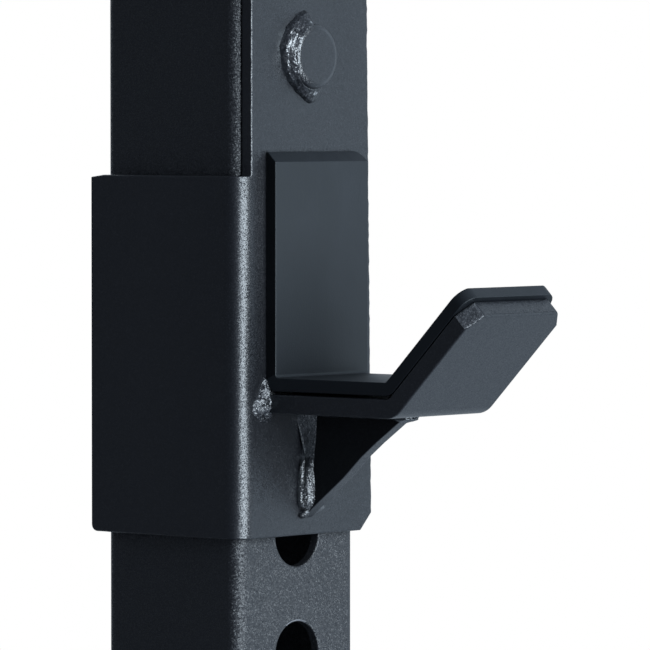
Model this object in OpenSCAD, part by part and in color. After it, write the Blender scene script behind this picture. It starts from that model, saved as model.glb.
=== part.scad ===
// Power rack: four square-tube uprights with rows of round holes, side rails,
// cross members, a pull-up bar, two lift-off bar hooks and two pull-out safety
// rods. Millimetres. +Z is up, +Y points from the front to the rear, and the
// origin is on the floor in the middle of the rack's bounding box.

/* [Frame] */
// Outside size of the square tube of the uprights, rails and cross members
tube_w = 75; // [70:1:80]
// Wall thickness of the square tube
tube_t = 4; // [3:0.5:5]
// Outside corner radius of the square tube
tube_r = 6; // [5:0.5:8]
// Length of each upright, without its foot plate and its cap
upright_len = 2260; // [2230:10:2300]
// Distance between the centre lines of the left and right uprights
centre_x = 1155; // [1100:5:1200]
// Free distance between the front and the rear uprights
bay_depth = 900; // [800:10:1100]

/* [Upright holes] */
// Diameter of the holes in the front and rear faces of the uprights
hole_d = 26.8; // [26:0.1:28]
// Distance from one hole to the next
hole_pitch = 50; // [50:1:50]
// Height of the lowest hole above the floor
hole_first = 115; // [113:1:118]
// Number of holes in each row
hole_count = 42; // [42:1:42]
// Diameter of the side holes that take the cross members' bolts
side_hole_d = 17.5; // [17:0.1:18]

/* [Foot plates and end plates] */
// Side of the square foot plate
foot_w = 160; // [150:5:180]
// Thickness of the foot plate
foot_t = 8; // [6:1:12]
// Distance between the anchor holes of a foot plate
anchor_pitch = 125; // [118:1:130]
// Diameter of an anchor hole
anchor_d = 14; // [12:0.5:16]
// Thickness of the end plates welded to the rails, cross members and bar
plate_t = 6; // [5:0.5:8]
// Gap between the floor and the underside of the base rails
rail_lift = 10; // [9:1:20]

/* [Pull-up bar] */
// Outside diameter of the pull-up bar
pull_d = 32; // [28:1:38]
// Wall thickness of the pull-up bar
pull_t = 3; // [2:0.5:4]
// Height of the pull-up bar's axis above the floor
pull_z = 2226; // [2200:1:2240]

/* [Bar hook] */
// Number of the hole that takes the hook's pin, counted from the lowest as 0
hook_hole = 26; // [8:1:38]
// Thickness of the hook's angle bracket
bracket_t = 5; // [4:0.5:5]
// Height of the bracket's side flange, which keeps the hook from turning
flange_h = 150; // [140:1:155]
// Length of the side flange from front to rear
flange_l = 83.4; // [80:0.1:84]
// Full height of the bracket's front plate
bracket_h = 240; // [230:1:250]
// Height of the pin's axis above the bracket's lower edge
pin_up = 199.4; // [199:0.1:200]
// Diameter of the hook's pin
pin_d = 24.6; // [24:0.1:25]
// Length of the pin in front of the bracket's face
pin_proud = 6; // [4:0.5:7]
// Thickness of the bent saddle plate
saddle_t = 8; // [7:0.5:8]
// Height of the saddle's underside above the bracket's lower edge
saddle_up = 51.75; // [50:0.25:54]
// Distance from the upright's face to the crease between seat and lip
saddle_reach = 71.75; // [68:0.25:74]
// Length of the saddle's lip beyond the bend
lip_len = 56; // [50:1:58]
// Thickness of the saddle's plastic liner
liner_t = 5.5; // [5:0.1:5.6]
// Thickness of the gusset under the saddle
gusset_t = 6; // [5:0.5:8]

/* [Safety rods] */
// Number of the hole that takes the safety rods, counted from the lowest as 0
rod_hole = 13; // [4:1:20]
// Diameter of the safety rods
rod_d = 25; // [24:0.1:25]
// Length of a rod behind the rear uprights
rod_tail = 18; // [12:1:24]

/* [Hidden] */
$fn = 48;
steel = [0.27, 0.30, 0.34];
dark_plastic = [0.12, 0.14, 0.17];
zinc = [0.30, 0.31, 0.33];
bright = [0.62, 0.64, 0.66];

up_z0 = foot_t;                        // lower end of the uprights
up_z1 = foot_t + upright_len;          // upper end of the uprights
rear_y = tube_w + bay_depth;           // front face of the rear uprights
back_y = rear_y + tube_w;              // rear face of the rear uprights
base_z1 = rail_lift + tube_w;          // top of the base rails
top_z0 = up_z1 - tube_w;               // underside of the top rails
hole_last = hole_first + hole_pitch * (hole_count - 1);
rail_base_holes = [hole_first, hole_first + hole_pitch];
rail_top_holes = [hole_last - hole_pitch, hole_last];
cross_base_holes = [hole_first + hole_pitch / 2, hole_first + 1.5 * hole_pitch];
cross_top_holes = [hole_last - 1.5 * hole_pitch, hole_last - hole_pitch / 2];
gap = 0.5;                             // clearance of the hook's bracket round the upright
face_y = -(bracket_t + gap);           // front face of the bracket
seat_top = saddle_up + saddle_t;       // upper face of the saddle's seat
bend_ri = 3;                           // inner bend radius of the saddle
bend_y = -saddle_reach + bend_ri * (sqrt(2) - 1);
bend_z = seat_top + bend_ri;
liner_top = seat_top + 1.25 + liner_t; // upper face of the liner's seat
// front-most point of the saddle's lip and the middle of the whole depth
lip_front = bend_y - (lip_len + bend_ri + saddle_t) * sqrt(0.5);
depth_max = back_y - tube_w / 2 + foot_w / 2;
shift_y = -(lip_front + depth_max) / 2;
bolt_d = 24;                           // rail bolts
small_d = 16;                          // cross member bolts

// ---------------------------------------------------------------- helpers

// Rounded rectangle centred on the origin, in the plane
module rrect(w, d, r) {
  square([w - 2 * r, d], center = true);
  square([w, d - 2 * r], center = true);
  for (i = [-1, 1], j = [-1, 1]) translate([i * (w / 2 - r), j * (d / 2 - r)]) circle(r);
}

// Square tube section with rounded corners
module tube_section() {
  difference() {
    rrect(tube_w, tube_w, tube_r);
    rrect(tube_w - 2 * tube_t, tube_w - 2 * tube_t, tube_r - tube_t);
  }
}

// Moves from a side's own frame, whose origin is on the centre line of the
// upright at its front face, into the rack; side is -1 left, 1 right
module side(s) translate([s * centre_x / 2, shift_y, 0]) children();

// Flat ring lying round the X or Y axis
module ring_y(r_out, r_in, y0, y1) {
  translate([0, y0, 0]) rotate([-90, 0, 0]) difference() {
    cylinder(r = r_out, h = y1 - y0);
    translate([0, 0, -1]) cylinder(r = r_in, h = y1 - y0 + 2);
  }
}

// Hexagon prism whose corners are turned off by a cone, one face on z = 0
module hex_body(af, h) {
  intersection() {
    cylinder(d = af / cos(30), h = h, $fn = 6);
    cylinder(r1 = af / cos(30) / 2 + h * 1.7 - 1.2, r2 = af / 2 - 0.4, h = h);
  }
}

// Bolt along +Z: its head lies below z = 0 and its shank runs to z = length
module bolt_shape(d, af, head, length) {
  rotate([180, 0, 0]) hex_body(af, head);
  cylinder(d = d, h = length - 2);
  translate([0, 0, length - 2]) cylinder(d1 = d, d2 = d - 4, h = 2);
}

// Nut along +Z with a smooth bore that clears the shank
module nut_shape(d, af, h) {
  difference() {
    hex_body(af, h);
    translate([0, 0, -1]) cylinder(d = d + 0.1, h = h + 2);
  }
}

// Washer along +Z
module washer_shape(d_in, d_out, t) {
  difference() {
    cylinder(d = d_out, h = t);
    translate([0, 0, -1]) cylinder(d = d_in, h = t + 2);
  }
}

// ---------------------------------------------------------------- frame parts

// One upright; its front face is at y = 0
module upright(s, y) {
  side(s) translate([0, y, 0]) difference() {
    translate([0, tube_w / 2, up_z0]) linear_extrude(upright_len) tube_section();
    for (k = [0 : hole_count - 1]) translate([0, -1, hole_first + k * hole_pitch])
      rotate([-90, 0, 0]) cylinder(d = hole_d, h = tube_w + 2);
    // the front uprights have side holes for the pull-up bar only
    for (z = concat(y > 1 ? cross_base_holes : [], cross_top_holes)) translate([-tube_w, tube_w / 2, z])
      rotate([0, 90, 0]) cylinder(d = side_hole_d, h = 2 * tube_w);
  }
}

// Foot plate under an upright, with an anchor hole near each corner
module foot_plate(s, y) {
  side(s) translate([0, y + tube_w / 2, 0]) difference() {
    linear_extrude(foot_t) rrect(foot_w, foot_w, 12);
    for (i = [-1, 1], j = [-1, 1]) translate([i * anchor_pitch / 2, j * anchor_pitch / 2, -1])
      cylinder(d = anchor_d, h = foot_t + 2);
  }
}

// Plastic plug that closes the upright's upper end
module top_cap(s, y) {
  inner = tube_w - 2 * tube_t - 0.5;
  side(s) translate([0, y + tube_w / 2, up_z1]) {
    linear_extrude(3) rrect(tube_w, tube_w, tube_r);
    translate([0, 0, -14]) linear_extrude(14) difference() {
      rrect(inner, inner, tube_r - tube_t - 0.25);
      rrect(inner - 5, inner - 5, 1);
    }
  }
}

// Side rail tube between the end plates, its underside at height z
module side_rail(s, z) {
  side(s) translate([0, tube_w + plate_t, z + tube_w / 2]) rotate([-90, 0, 0])
    linear_extrude(bay_depth - 2 * plate_t) tube_section();
}

// End plate in the XZ plane, from z0 to z1, with two holes for rail bolts
module rail_plate(z0, z1, holes) {
  rotate([90, 0, 0]) translate([0, 0, -plate_t]) linear_extrude(plate_t) difference() {
    translate([0, (z0 + z1) / 2]) rrect(tube_w, z1 - z0, 6);
    for (z = holes) translate([0, z]) circle(d = hole_d - 0.3);
  }
}

// The two end plates of a side rail
module side_rail_plates(s, z0, z1, holes) {
  side(s) for (y = [tube_w, rear_y - plate_t]) translate([0, y, 0]) rail_plate(z0, z1, holes);
}

// Rear cross member tube, its underside at height z
module cross_member(z) {
  length = centre_x - tube_w - 2 * plate_t;
  translate([-length / 2, shift_y + rear_y + tube_w / 2, z + tube_w / 2]) rotate([90, 0, 90])
    linear_extrude(length) tube_section();
}

// End plates on the inner side faces of the uprights whose front face is at y
module cross_plates(y, z0, z1, holes) {
  for (s = [-1, 1]) translate([s * (centre_x / 2 - tube_w / 2 - plate_t / 2), shift_y + y + tube_w / 2, 0])
    rotate([90, 0, 90]) translate([0, 0, -plate_t / 2]) linear_extrude(plate_t) difference() {
      translate([0, (z0 + z1) / 2]) rrect(tube_w, z1 - z0, 6);
      for (z = holes) translate([0, z]) circle(d = side_hole_d);
    }
}

// Pull-up bar: a round tube between its end plates
module pull_bar() {
  length = centre_x - tube_w - 2 * plate_t;
  translate([-length / 2, shift_y + tube_w / 2, pull_z]) rotate([0, 90, 0]) difference() {
    cylinder(d = pull_d, h = length, $fn = 64);
    translate([0, 0, -1]) cylinder(d = pull_d - 2 * pull_t, h = length + 2, $fn = 64);
  }
}

// Places fasteners that pass through an upright and a rail's end plate. In the
// child's frame the outer face of the upright is at z = 0 and +Z runs inward
module at_rail_bolts(holes) {
  for (s = [-1, 1], z = holes) side(s) {
    translate([0, 0, z]) rotate([-90, 0, 0]) children();
    translate([0, back_y, z]) rotate([90, 0, 0]) children();
  }
}

// The same for bolts through the uprights' side faces, from the outside in
module at_cross_bolts(y, holes) {
  for (s = [-1, 1], z = holes)
    translate([s * (centre_x / 2 + tube_w / 2), shift_y + y + tube_w / 2, z]) rotate([0, -90 * s, 0]) children();
}

rail_grip = tube_w + plate_t;
module rail_bolts(holes) at_rail_bolts(holes) translate([0, 0, -4]) bolt_shape(bolt_d, 36, 15, rail_grip + 4 + 4 + 26);
module rail_washers(holes) at_rail_bolts(holes) {
  translate([0, 0, -4]) washer_shape(25, 44, 4);
  translate([0, 0, rail_grip]) washer_shape(25, 44, 4);
}
module rail_nuts(holes) at_rail_bolts(holes) translate([0, 0, rail_grip + 4]) nut_shape(bolt_d, 36, 22);
module cross_bolts(y, holes) at_cross_bolts(y, holes) translate([0, 0, -3]) bolt_shape(small_d, 24, 10, rail_grip + 3 + 3 + 19);
module cross_washers(y, holes) at_cross_bolts(y, holes) {
  translate([0, 0, -3]) washer_shape(17, 30, 3);
  translate([0, 0, rail_grip]) washer_shape(17, 30, 3);
}
module cross_nuts(y, holes) at_cross_bolts(y, holes) translate([0, 0, rail_grip + 3]) nut_shape(small_d, 24, 15);

// ---------------------------------------------------------------- bar hook
// The hook's own frame has its origin on the upright's front face, on the
// centre line, at the height of the bracket's lower edge. Its flange is on the
// -X side, and the left hook is a mirror image.

module at_hook(s) {
  z = hole_first + hook_hole * hole_pitch - 200;
  side(s) translate([0, 0, z]) mirror([s < 0 ? 1 : 0, 0, 0]) children();
}

br_x0 = -tube_w / 2 - gap - bracket_t; // outer face of the flange
br_x1 = 41.4;                          // free edge of the front plate, at its lower end
br_x2 = 38.3;                          // and at its upper end: the edge leans a little
br_ro = 8;                             // outer bend radius
br_edge = -35.1;                       // left edge of the plate above the flange

// Angle section of the bracket, seen from above
module bracket_section() {
  translate([br_x0 + br_ro, face_y]) square([br_x1 - br_x0 - br_ro, bracket_t]);
  translate([br_x0, face_y + br_ro]) square([bracket_t, flange_l - br_ro]);
  translate([br_x0 + br_ro, face_y + br_ro]) intersection() {
    difference() { circle(br_ro); circle(br_ro - bracket_t); }
    translate([-br_ro, -br_ro]) square(br_ro);
  }
}

// Outline of the bracket, seen from the front
module bracket_outline() {
  difference() {
    polygon([[br_x0 - 1, 0], [br_x1 - 7, 0], [br_x1, 7.2], [br_x2, bracket_h - 7.2], [br_x2 - 7, bracket_h],
             [br_edge + 8, bracket_h], [br_edge, bracket_h - 8], [br_edge, flange_h + 2.5],
             [br_edge - 2.5, flange_h], [br_x0 - 1, flange_h]]);
    translate([br_edge - 2.5, flange_h + 2.5]) circle(2.5);
  }
}

// Corner left by a rounded edge: the part of a square outside the circle
module corner_bit(r, t) {
  difference() {
    translate([0, 0, -1]) cube([r + 1, r + 1, t + 2]);
    translate([0, 0, -2]) cylinder(r = r, h = t + 4);
  }
}

module hook_bracket() {
  difference() {
    intersection() {
      linear_extrude(bracket_h) bracket_section();
      rotate([90, 0, 0]) translate([0, 0, -100]) linear_extrude(120) bracket_outline();
    }
    // rounded lower corner at the flange's rear
    translate([br_x0 + bracket_t / 2, face_y + flange_l - 3, 3])
      mirror([0, 0, 1]) rotate([90, 0, 90]) translate([0, 0, -bracket_t]) corner_bit(3, 2 * bracket_t);
    // and its upper corner, which droops a little towards the rear edge
    translate([br_x0 - 1, face_y + flange_l, flange_h]) rotate([90, 0, 90]) linear_extrude(bracket_t + 2)
      polygon([[-7, 0], [2, -1.15], [2, 1], [-7, 1]]);
    // hole that the pin is welded into
    translate([0, face_y - 1, pin_up]) rotate([-90, 0, 0]) cylinder(d = pin_d + 0.1, h = bracket_t + 2);
  }
}

// Points along an arc of radius r round c, from angle a0 to a1, in n steps
function arc(c, r, a0, a1, n) = [for (i = [0 : n]) let (a = a0 + (a1 - a0) * i / n) c + r * [cos(a), sin(a)]];

// Outline of a strip that runs forward and then bends 45 degrees upward, as
// seen from the left: u is forward, v is up. c is the centre of the bend. It
// starts under the strip's rear end, where its corner may be rounded by r0, and
// comes back to the end of the seat's top
function bent_points(c, ri, t, u0, lip, r0 = 0) = concat(
  r0 > 0 ? arc([u0 + r0, c[1] - ri - t + r0], r0, 180, 270, 8) : [[u0, c[1] - ri - t]],
  arc(c, ri + t, -90, -45, 12),
  [c + (ri + t) * [cos(-45), sin(-45)] + lip * [cos(45), sin(45)],
   c + ri * [cos(-45), sin(-45)] + lip * [cos(45), sin(45)]],
  arc(c, ri, -45, -90, 12));

// What a rounded corner of radius r takes off a plate whose corner is at the
// origin and whose sides run along +X and +Y
module corner_cut(r) polygon(concat([[-1, -1], [r, -1]], arc([r, r], r, 270, 180, 10), [[-1, r]]));

// Stands a left-view profile up and extrudes it from x0 to x1
module along_x(x0, x1) translate([x1, 0, 0]) rotate([90, 0, -90]) linear_extrude(x1 - x0) children();

sad_x0 = -26;
sad_x1 = 33.2;
module hook_saddle() {
  difference() {
    along_x(sad_x0, sad_x1)
      polygon(concat(bent_points([-bend_y, bend_z], bend_ri, saddle_t, -face_y, lip_len), [[-face_y, seat_top]]));
    // the two corners cut off the end of the lip
    for (m = [0, 1]) translate([0, bend_y, bend_z]) rotate([-45, 0, 0])
      translate([m == 0 ? sad_x0 : sad_x1, -lip_len, -15]) mirror([m, 0, 0])
        linear_extrude(20) polygon([[-1, -1], [6.6, -1], [6, 0], [0, 7.8], [-1, 9]]);
  }
}

// Liner: a pad on the bracket, a seat and a lip, in one piece
lin_ri = 1.5;
lin_c = [saddle_reach - 1.35 - lin_ri * (sqrt(2) - 1), liner_top + lin_ri];
lin_pad = 5.4;
module hook_liner() {
  x1 = 32.6;
  v0 = seat_top + 1.25;                // underside of the liner's seat
  pad_h = 98.8;
  difference() {
    // the seat and lip, the inside corner, and the pad with its bevelled top
    along_x(sad_x0, x1) polygon(concat(
      bent_points(lin_c, lin_ri, liner_t, -face_y, lip_len - 1, 5),
      arc([-face_y + lin_pad + 1.5, liner_top + 1.5], 1.5, 270, 180, 6),
      [[-face_y + lin_pad, v0 + pad_h - 4.1], [-face_y + lin_pad - 4.1, v0 + pad_h], [-face_y, v0 + pad_h]]));
    // rounded corners at the end of the lip
    for (m = [0, 1]) translate([0, -lin_c[0], lin_c[1]]) rotate([-45, 0, 0])
      translate([m == 0 ? sad_x0 : x1, -lip_len + 1, -15]) mirror([m, 0, 0]) linear_extrude(20) corner_cut(7);
    // rounded upper corner of the pad on its free side
    translate([x1, face_y + 1, v0 + pad_h]) rotate([90, 0, 0]) rotate(180) linear_extrude(10) corner_cut(4);
  }
}

// Triangular gusset under the seat
module hook_gusset() {
  along_x(-gusset_t / 2, gusset_t / 2)
    polygon([[-face_y, 7.2], [-face_y + 2, 8.8], [37.5, saddle_up - 18.2], [60.5, saddle_up - 1.2], [60.5, saddle_up], [-face_y, saddle_up]]);
}

// Round pin welded through the bracket; it reaches through both walls and has a
// low head in front of the bracket
pin_head = pin_d + 2.6;
module hook_pin() {
  y0 = face_y - pin_proud;
  translate([0, y0, pin_up]) rotate([-90, 0, 0]) {
    cylinder(d1 = pin_head - 2, d2 = pin_head, h = 1);
    translate([0, 0, 1]) cylinder(d = pin_head, h = pin_proud - 1);
    translate([0, 0, 1]) cylinder(d = pin_d, h = tube_w + 5 - y0 - 3);
    translate([0, 0, tube_w + 5 - y0 - 2]) cylinder(d1 = pin_d, d2 = pin_d - 4, h = 2);
  }
}

// Welds: an arc round the pin's head, a bead down each side of the gusset, a bead
// along the rear of the seat's top, under the liner, and a lump at the seat's
// rear corner
module hook_welds() {
  translate([0, face_y, pin_up]) rotate([90, 0, 0]) rotate([0, 0, 80]) rotate_extrude(angle = 230)
    polygon([[pin_head / 2 + 0.05, 0], [pin_head / 2 + 5.2, 0], [pin_head / 2 + 4, 2.2], [pin_head / 2 + 0.05, 5.4]]);
  for (m = [-1, 1]) translate([m * gusset_t / 2, face_y, 9]) linear_extrude(saddle_up - 9)
    polygon([[0, 0], [m * 4.5, 0], [0, -5.5]]);
  along_x(sad_x0, sad_x1) polygon([[-face_y, seat_top], [-face_y, seat_top + 2.9], [-face_y + 2.9, seat_top]]);
  translate([sad_x0, face_y, seat_top - 11]) linear_extrude(12) polygon([[0, 0], [-8, 0], [-5.5, -2.6], [0, -3.4]]);
}

// ---------------------------------------------------------------- safety rods

rod_front = -106;                      // front end of the steel rod
module at_rod(s) {
  drop = hole_d / 2 - rod_d / 2 - 0.32;
  side(s) translate([0, 0, hole_first + rod_hole * hole_pitch - drop]) children();
}

module rod_bar(s) at_rod(s) translate([0, rod_front, 0]) rotate([-90, 0, 0]) {
  length = back_y + rod_tail - rod_front;
  cylinder(d = rod_d, h = length - 3);
  translate([0, 0, length - 3]) cylinder(d1 = rod_d, d2 = rod_d - 6, h = 3);
}

// Stop collar that meets the front face of the upright
module rod_collar(s) at_rod(s) ring_y(22, rod_d / 2 + 0.05, -8.4, -0.4);

// Ribbed plastic grip over the front end of the rod, closed at its nose
module rod_grip(s) at_rod(s) translate([0, rod_front - 4, 0]) rotate([-90, 0, 0]) difference() {
  union() {
    cylinder(r1 = 14, r2 = 17, h = 3);
    translate([0, 0, 3]) cylinder(r = 17, h = 88);
    translate([0, 0, 91]) cylinder(r = 21, h = 5);
  }
  translate([0, 0, 4]) cylinder(d = rod_d + 0.1, h = 100);
}

// ---------------------------------------------------------------- nodes

module upright_front_left() { color(steel) upright(-1, 0); }
module upright_front_right() { color(steel) upright(1, 0); }
module upright_rear_left() { color(steel) upright(-1, rear_y); }
module upright_rear_right() { color(steel) upright(1, rear_y); }
module foot_plate_front_left() { color(steel) foot_plate(-1, 0); }
module foot_plate_front_right() { color(steel) foot_plate(1, 0); }
module foot_plate_rear_left() { color(steel) foot_plate(-1, rear_y); }
module foot_plate_rear_right() { color(steel) foot_plate(1, rear_y); }
module top_cap_front_left() { color(dark_plastic) top_cap(-1, 0); }
module top_cap_front_right() { color(dark_plastic) top_cap(1, 0); }
module top_cap_rear_left() { color(dark_plastic) top_cap(-1, rear_y); }
module top_cap_rear_right() { color(dark_plastic) top_cap(1, rear_y); }
module base_rail_left() { color(steel) side_rail(-1, rail_lift); }
module base_rail_right() { color(steel) side_rail(1, rail_lift); }
module base_rail_left_end_plates() { color(steel) side_rail_plates(-1, rail_lift, hole_first + hole_pitch + 30, rail_base_holes); }
module base_rail_right_end_plates() { color(steel) side_rail_plates(1, rail_lift, hole_first + hole_pitch + 30, rail_base_holes); }
module top_rail_left() { color(steel) side_rail(-1, top_z0); }
module top_rail_right() { color(steel) side_rail(1, top_z0); }
module top_rail_left_end_plates() { color(steel) side_rail_plates(-1, hole_last - hole_pitch - 30, up_z1, rail_top_holes); }
module top_rail_right_end_plates() { color(steel) side_rail_plates(1, hole_last - hole_pitch - 30, up_z1, rail_top_holes); }
module base_cross_member() { color(steel) cross_member(rail_lift); }
module base_cross_member_end_plates() { color(steel) cross_plates(rear_y, rail_lift, cross_base_holes[1] + 30, cross_base_holes); }
module top_cross_member() { color(steel) cross_member(top_z0); }
module top_cross_member_end_plates() { color(steel) cross_plates(rear_y, cross_top_holes[0] - 30, up_z1, cross_top_holes); }
module pull_up_bar() { color(steel) pull_bar(); }
module pull_up_bar_end_plates() { color(steel) cross_plates(0, cross_top_holes[0] - 30, up_z1, cross_top_holes); }
module base_rail_bolts() { color(zinc) rail_bolts(rail_base_holes); }
module base_rail_washers() { color(zinc) rail_washers(rail_base_holes); }
module base_rail_nuts() { color(zinc) rail_nuts(rail_base_holes); }
module top_rail_bolts() { color(zinc) rail_bolts(rail_top_holes); }
module top_rail_washers() { color(zinc) rail_washers(rail_top_holes); }
module top_rail_nuts() { color(zinc) rail_nuts(rail_top_holes); }
module cross_member_bolts() { color(zinc) { cross_bolts(rear_y, cross_base_holes); cross_bolts(rear_y, cross_top_holes); } }
module cross_member_washers() { color(zinc) { cross_washers(rear_y, cross_base_holes); cross_washers(rear_y, cross_top_holes); } }
module cross_member_nuts() { color(zinc) { cross_nuts(rear_y, cross_base_holes); cross_nuts(rear_y, cross_top_holes); } }
module pull_up_bar_bolts() { color(zinc) cross_bolts(0, cross_top_holes); }
module pull_up_bar_washers() { color(zinc) cross_washers(0, cross_top_holes); }
module pull_up_bar_nuts() { color(zinc) cross_nuts(0, cross_top_holes); }
module hook_bracket_right() { color(steel) at_hook(1) hook_bracket(); }
module hook_saddle_right() { color(steel) at_hook(1) hook_saddle(); }
module hook_gusset_right() { color(steel) at_hook(1) hook_gusset(); }
module hook_pin_right() { color(steel) at_hook(1) hook_pin(); }
module hook_welds_right() { color(steel) at_hook(1) hook_welds(); }
module hook_liner_right() { color(dark_plastic) at_hook(1) hook_liner(); }
module hook_bracket_left() { color(steel) at_hook(-1) hook_bracket(); }
module hook_saddle_left() { color(steel) at_hook(-1) hook_saddle(); }
module hook_gusset_left() { color(steel) at_hook(-1) hook_gusset(); }
module hook_pin_left() { color(steel) at_hook(-1) hook_pin(); }
module hook_welds_left() { color(steel) at_hook(-1) hook_welds(); }
module hook_liner_left() { color(dark_plastic) at_hook(-1) hook_liner(); }
module safety_rod_right() { color(bright) rod_bar(1); }
module safety_rod_collar_right() { color(bright) rod_collar(1); }
module safety_rod_grip_right() { color(dark_plastic) rod_grip(1); }
module safety_rod_left() { color(bright) rod_bar(-1); }
module safety_rod_collar_left() { color(bright) rod_collar(-1); }
module safety_rod_grip_left() { color(dark_plastic) rod_grip(-1); }

upright_front_left();
upright_front_right();
upright_rear_left();
upright_rear_right();
foot_plate_front_left();
foot_plate_front_right();
foot_plate_rear_left();
foot_plate_rear_right();
top_cap_front_left();
top_cap_front_right();
top_cap_rear_left();
top_cap_rear_right();
base_rail_left();
base_rail_right();
base_rail_left_end_plates();
base_rail_right_end_plates();
top_rail_left();
top_rail_right();
top_rail_left_end_plates();
top_rail_right_end_plates();
base_cross_member();
base_cross_member_end_plates();
top_cross_member();
top_cross_member_end_plates();
pull_up_bar();
pull_up_bar_end_plates();
base_rail_bolts();
base_rail_washers();
base_rail_nuts();
top_rail_bolts();
top_rail_washers();
top_rail_nuts();
cross_member_bolts();
cross_member_washers();
cross_member_nuts();
pull_up_bar_bolts();
pull_up_bar_washers();
pull_up_bar_nuts();
hook_bracket_right();
hook_saddle_right();
hook_gusset_right();
hook_pin_right();
hook_welds_right();
hook_liner_right();
hook_bracket_left();
hook_saddle_left();
hook_gusset_left();
hook_pin_left();
hook_welds_left();
hook_liner_left();
safety_rod_right();
safety_rod_collar_right();
safety_rod_grip_right();
safety_rod_left();
safety_rod_collar_left();
safety_rod_grip_left();
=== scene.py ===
import math

import bmesh
import bpy
import numpy as np
from mathutils import Matrix, Vector, noise
from mathutils.geometry import tessellate_polygon

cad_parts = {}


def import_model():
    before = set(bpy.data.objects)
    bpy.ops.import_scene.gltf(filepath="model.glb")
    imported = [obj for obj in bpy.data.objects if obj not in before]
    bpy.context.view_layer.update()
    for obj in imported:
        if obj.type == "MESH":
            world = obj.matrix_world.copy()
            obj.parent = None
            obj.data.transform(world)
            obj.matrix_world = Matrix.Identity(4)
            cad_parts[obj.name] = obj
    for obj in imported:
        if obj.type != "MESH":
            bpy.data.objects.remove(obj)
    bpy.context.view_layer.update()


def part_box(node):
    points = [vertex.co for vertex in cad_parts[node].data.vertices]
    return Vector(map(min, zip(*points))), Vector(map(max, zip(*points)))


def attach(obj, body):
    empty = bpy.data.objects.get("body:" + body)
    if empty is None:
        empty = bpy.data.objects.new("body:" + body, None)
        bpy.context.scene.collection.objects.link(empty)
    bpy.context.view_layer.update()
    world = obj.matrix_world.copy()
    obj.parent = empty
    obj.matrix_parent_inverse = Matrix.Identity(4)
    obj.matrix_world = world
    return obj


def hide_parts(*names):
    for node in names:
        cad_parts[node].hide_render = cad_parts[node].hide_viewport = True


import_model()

MM = 0.001
PI = math.pi

# ------------------------------------------------------------------ sizes, mm
FRONT_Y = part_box("upright_front_right")[0].y / MM      # front face of the front uprights
CX = 577.5                                             # centre lines of the uprights at x = +-CX
TUBE, WALL, R_OUT, R_IN = 75.0, 4.0, 6.0, 2.0
BAY = 900.0
REAR = TUBE + BAY
BACK = REAR + TUBE
UP0, UP1 = 8.0, 2268.0
HOLE_R, PITCH, HOLE0, HOLES = 13.4, 50.0, 115.0, 42
HOOK_Z = HOLE0 + 26 * PITCH - 200.0                    # lower edge of the hook's bracket
HOLE_LAST = HOLE0 + PITCH * (HOLES - 1)


# ------------------------------------------------------------------ frames
def world(p):
    return p


def side_frame(s, y0=0.0, z0=0.0):
    """Origin on the centre line of an upright at the front face of the front uprights."""
    def f(p):
        q = p.copy()
        q[:, 0] += s * CX
        q[:, 1] += FRONT_Y + y0
        q[:, 2] += z0
        return q
    return f


def hook_frame(s):
    """The hook's own frame; the left hook is its mirror image."""
    def f(p):
        q = p.copy()
        if s < 0:
            q[:, 0] *= -1
        q[:, 0] += s * CX
        q[:, 1] += FRONT_Y
        q[:, 2] += HOOK_Z
        return q
    return f


# ------------------------------------------------------------------ mesh kit
def fractal(p, scale, octaves=4, seed=0.0):
    v = Vector((p[0] / scale + seed * 17.3, p[1] / scale - seed * 5.1, p[2] / scale + seed * 9.7))
    return noise.fractal(v, 0.9, 2.1, octaves)


def emit(name, verts, faces, mats, body, place=None, mirror=False, replaces=(), slot=None,
         sharp=34.0, face_mat=None, weighted=True):
    v = np.asarray(verts, float).reshape(-1, 3)
    if place is not None:
        v = place(v)
    if mirror:
        faces = [tuple(reversed(f)) for f in faces]
    me = bpy.data.meshes.new(name)
    me.from_pydata((v * MM).tolist(), [], [tuple(int(i) for i in f) for f in faces])
    if not isinstance(mats, (list, tuple)):
        mats = [mats]
    for m in mats:
        me.materials.append(m)
    if face_mat is not None:
        me.polygons.foreach_set("material_index", list(face_mat))
    me.polygons.foreach_set("use_smooth", [True] * len(me.polygons))
    me.update()
    me.set_sharp_from_angle(angle=math.radians(sharp))
    ob = bpy.data.objects.new(name, me)
    bpy.context.scene.collection.objects.link(ob)
    if weighted:
        mod = ob.modifiers.new("normals", "WEIGHTED_NORMAL")
        mod.keep_sharp = True
        mod.weight = 60
    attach(ob, body)
    if replaces:
        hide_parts(*replaces)
    return ob


class Soup:
    """Collects several solids into one piece."""

    def __init__(self):
        self.v, self.f, self.m = [], [], []
        self.n = 0

    def add(self, verts, faces, place=None, flip=False, mat=0):
        v = np.asarray(verts, float).reshape(-1, 3)
        if place is not None:
            v = place(v)
        for f in faces:
            g = tuple(i + self.n for i in f)
            self.f.append(tuple(reversed(g)) if flip else g)
            self.m.append(mat)
        self.v.append(v)
        self.n += len(v)

    def emit(self, name, mats, body, **kw):
        return emit(name, np.concatenate(self.v), self.f, mats, body, face_mat=self.m, **kw)


def arc(cx, cy, r, a0, a1, n):
    return [(cx + r * math.cos(math.radians(a0 + (a1 - a0) * i / n)),
             cy + r * math.sin(math.radians(a0 + (a1 - a0) * i / n))) for i in range(n + 1)]


def circle(cx, cy, r, n=48):
    return [(cx + r * math.cos(2 * PI * i / n), cy + r * math.sin(2 * PI * i / n)) for i in range(n)]


def round_rect(w, d, r, n=6, cx=0.0, cy=0.0):
    out = []
    for (sx, sy, a) in ((1, 1, 0), (-1, 1, 90), (-1, -1, 180), (1, -1, 270)):
        out += arc(cx + sx * (w / 2 - r), cy + sy * (d / 2 - r), r, a, a + 90, n)
    return out


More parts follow.
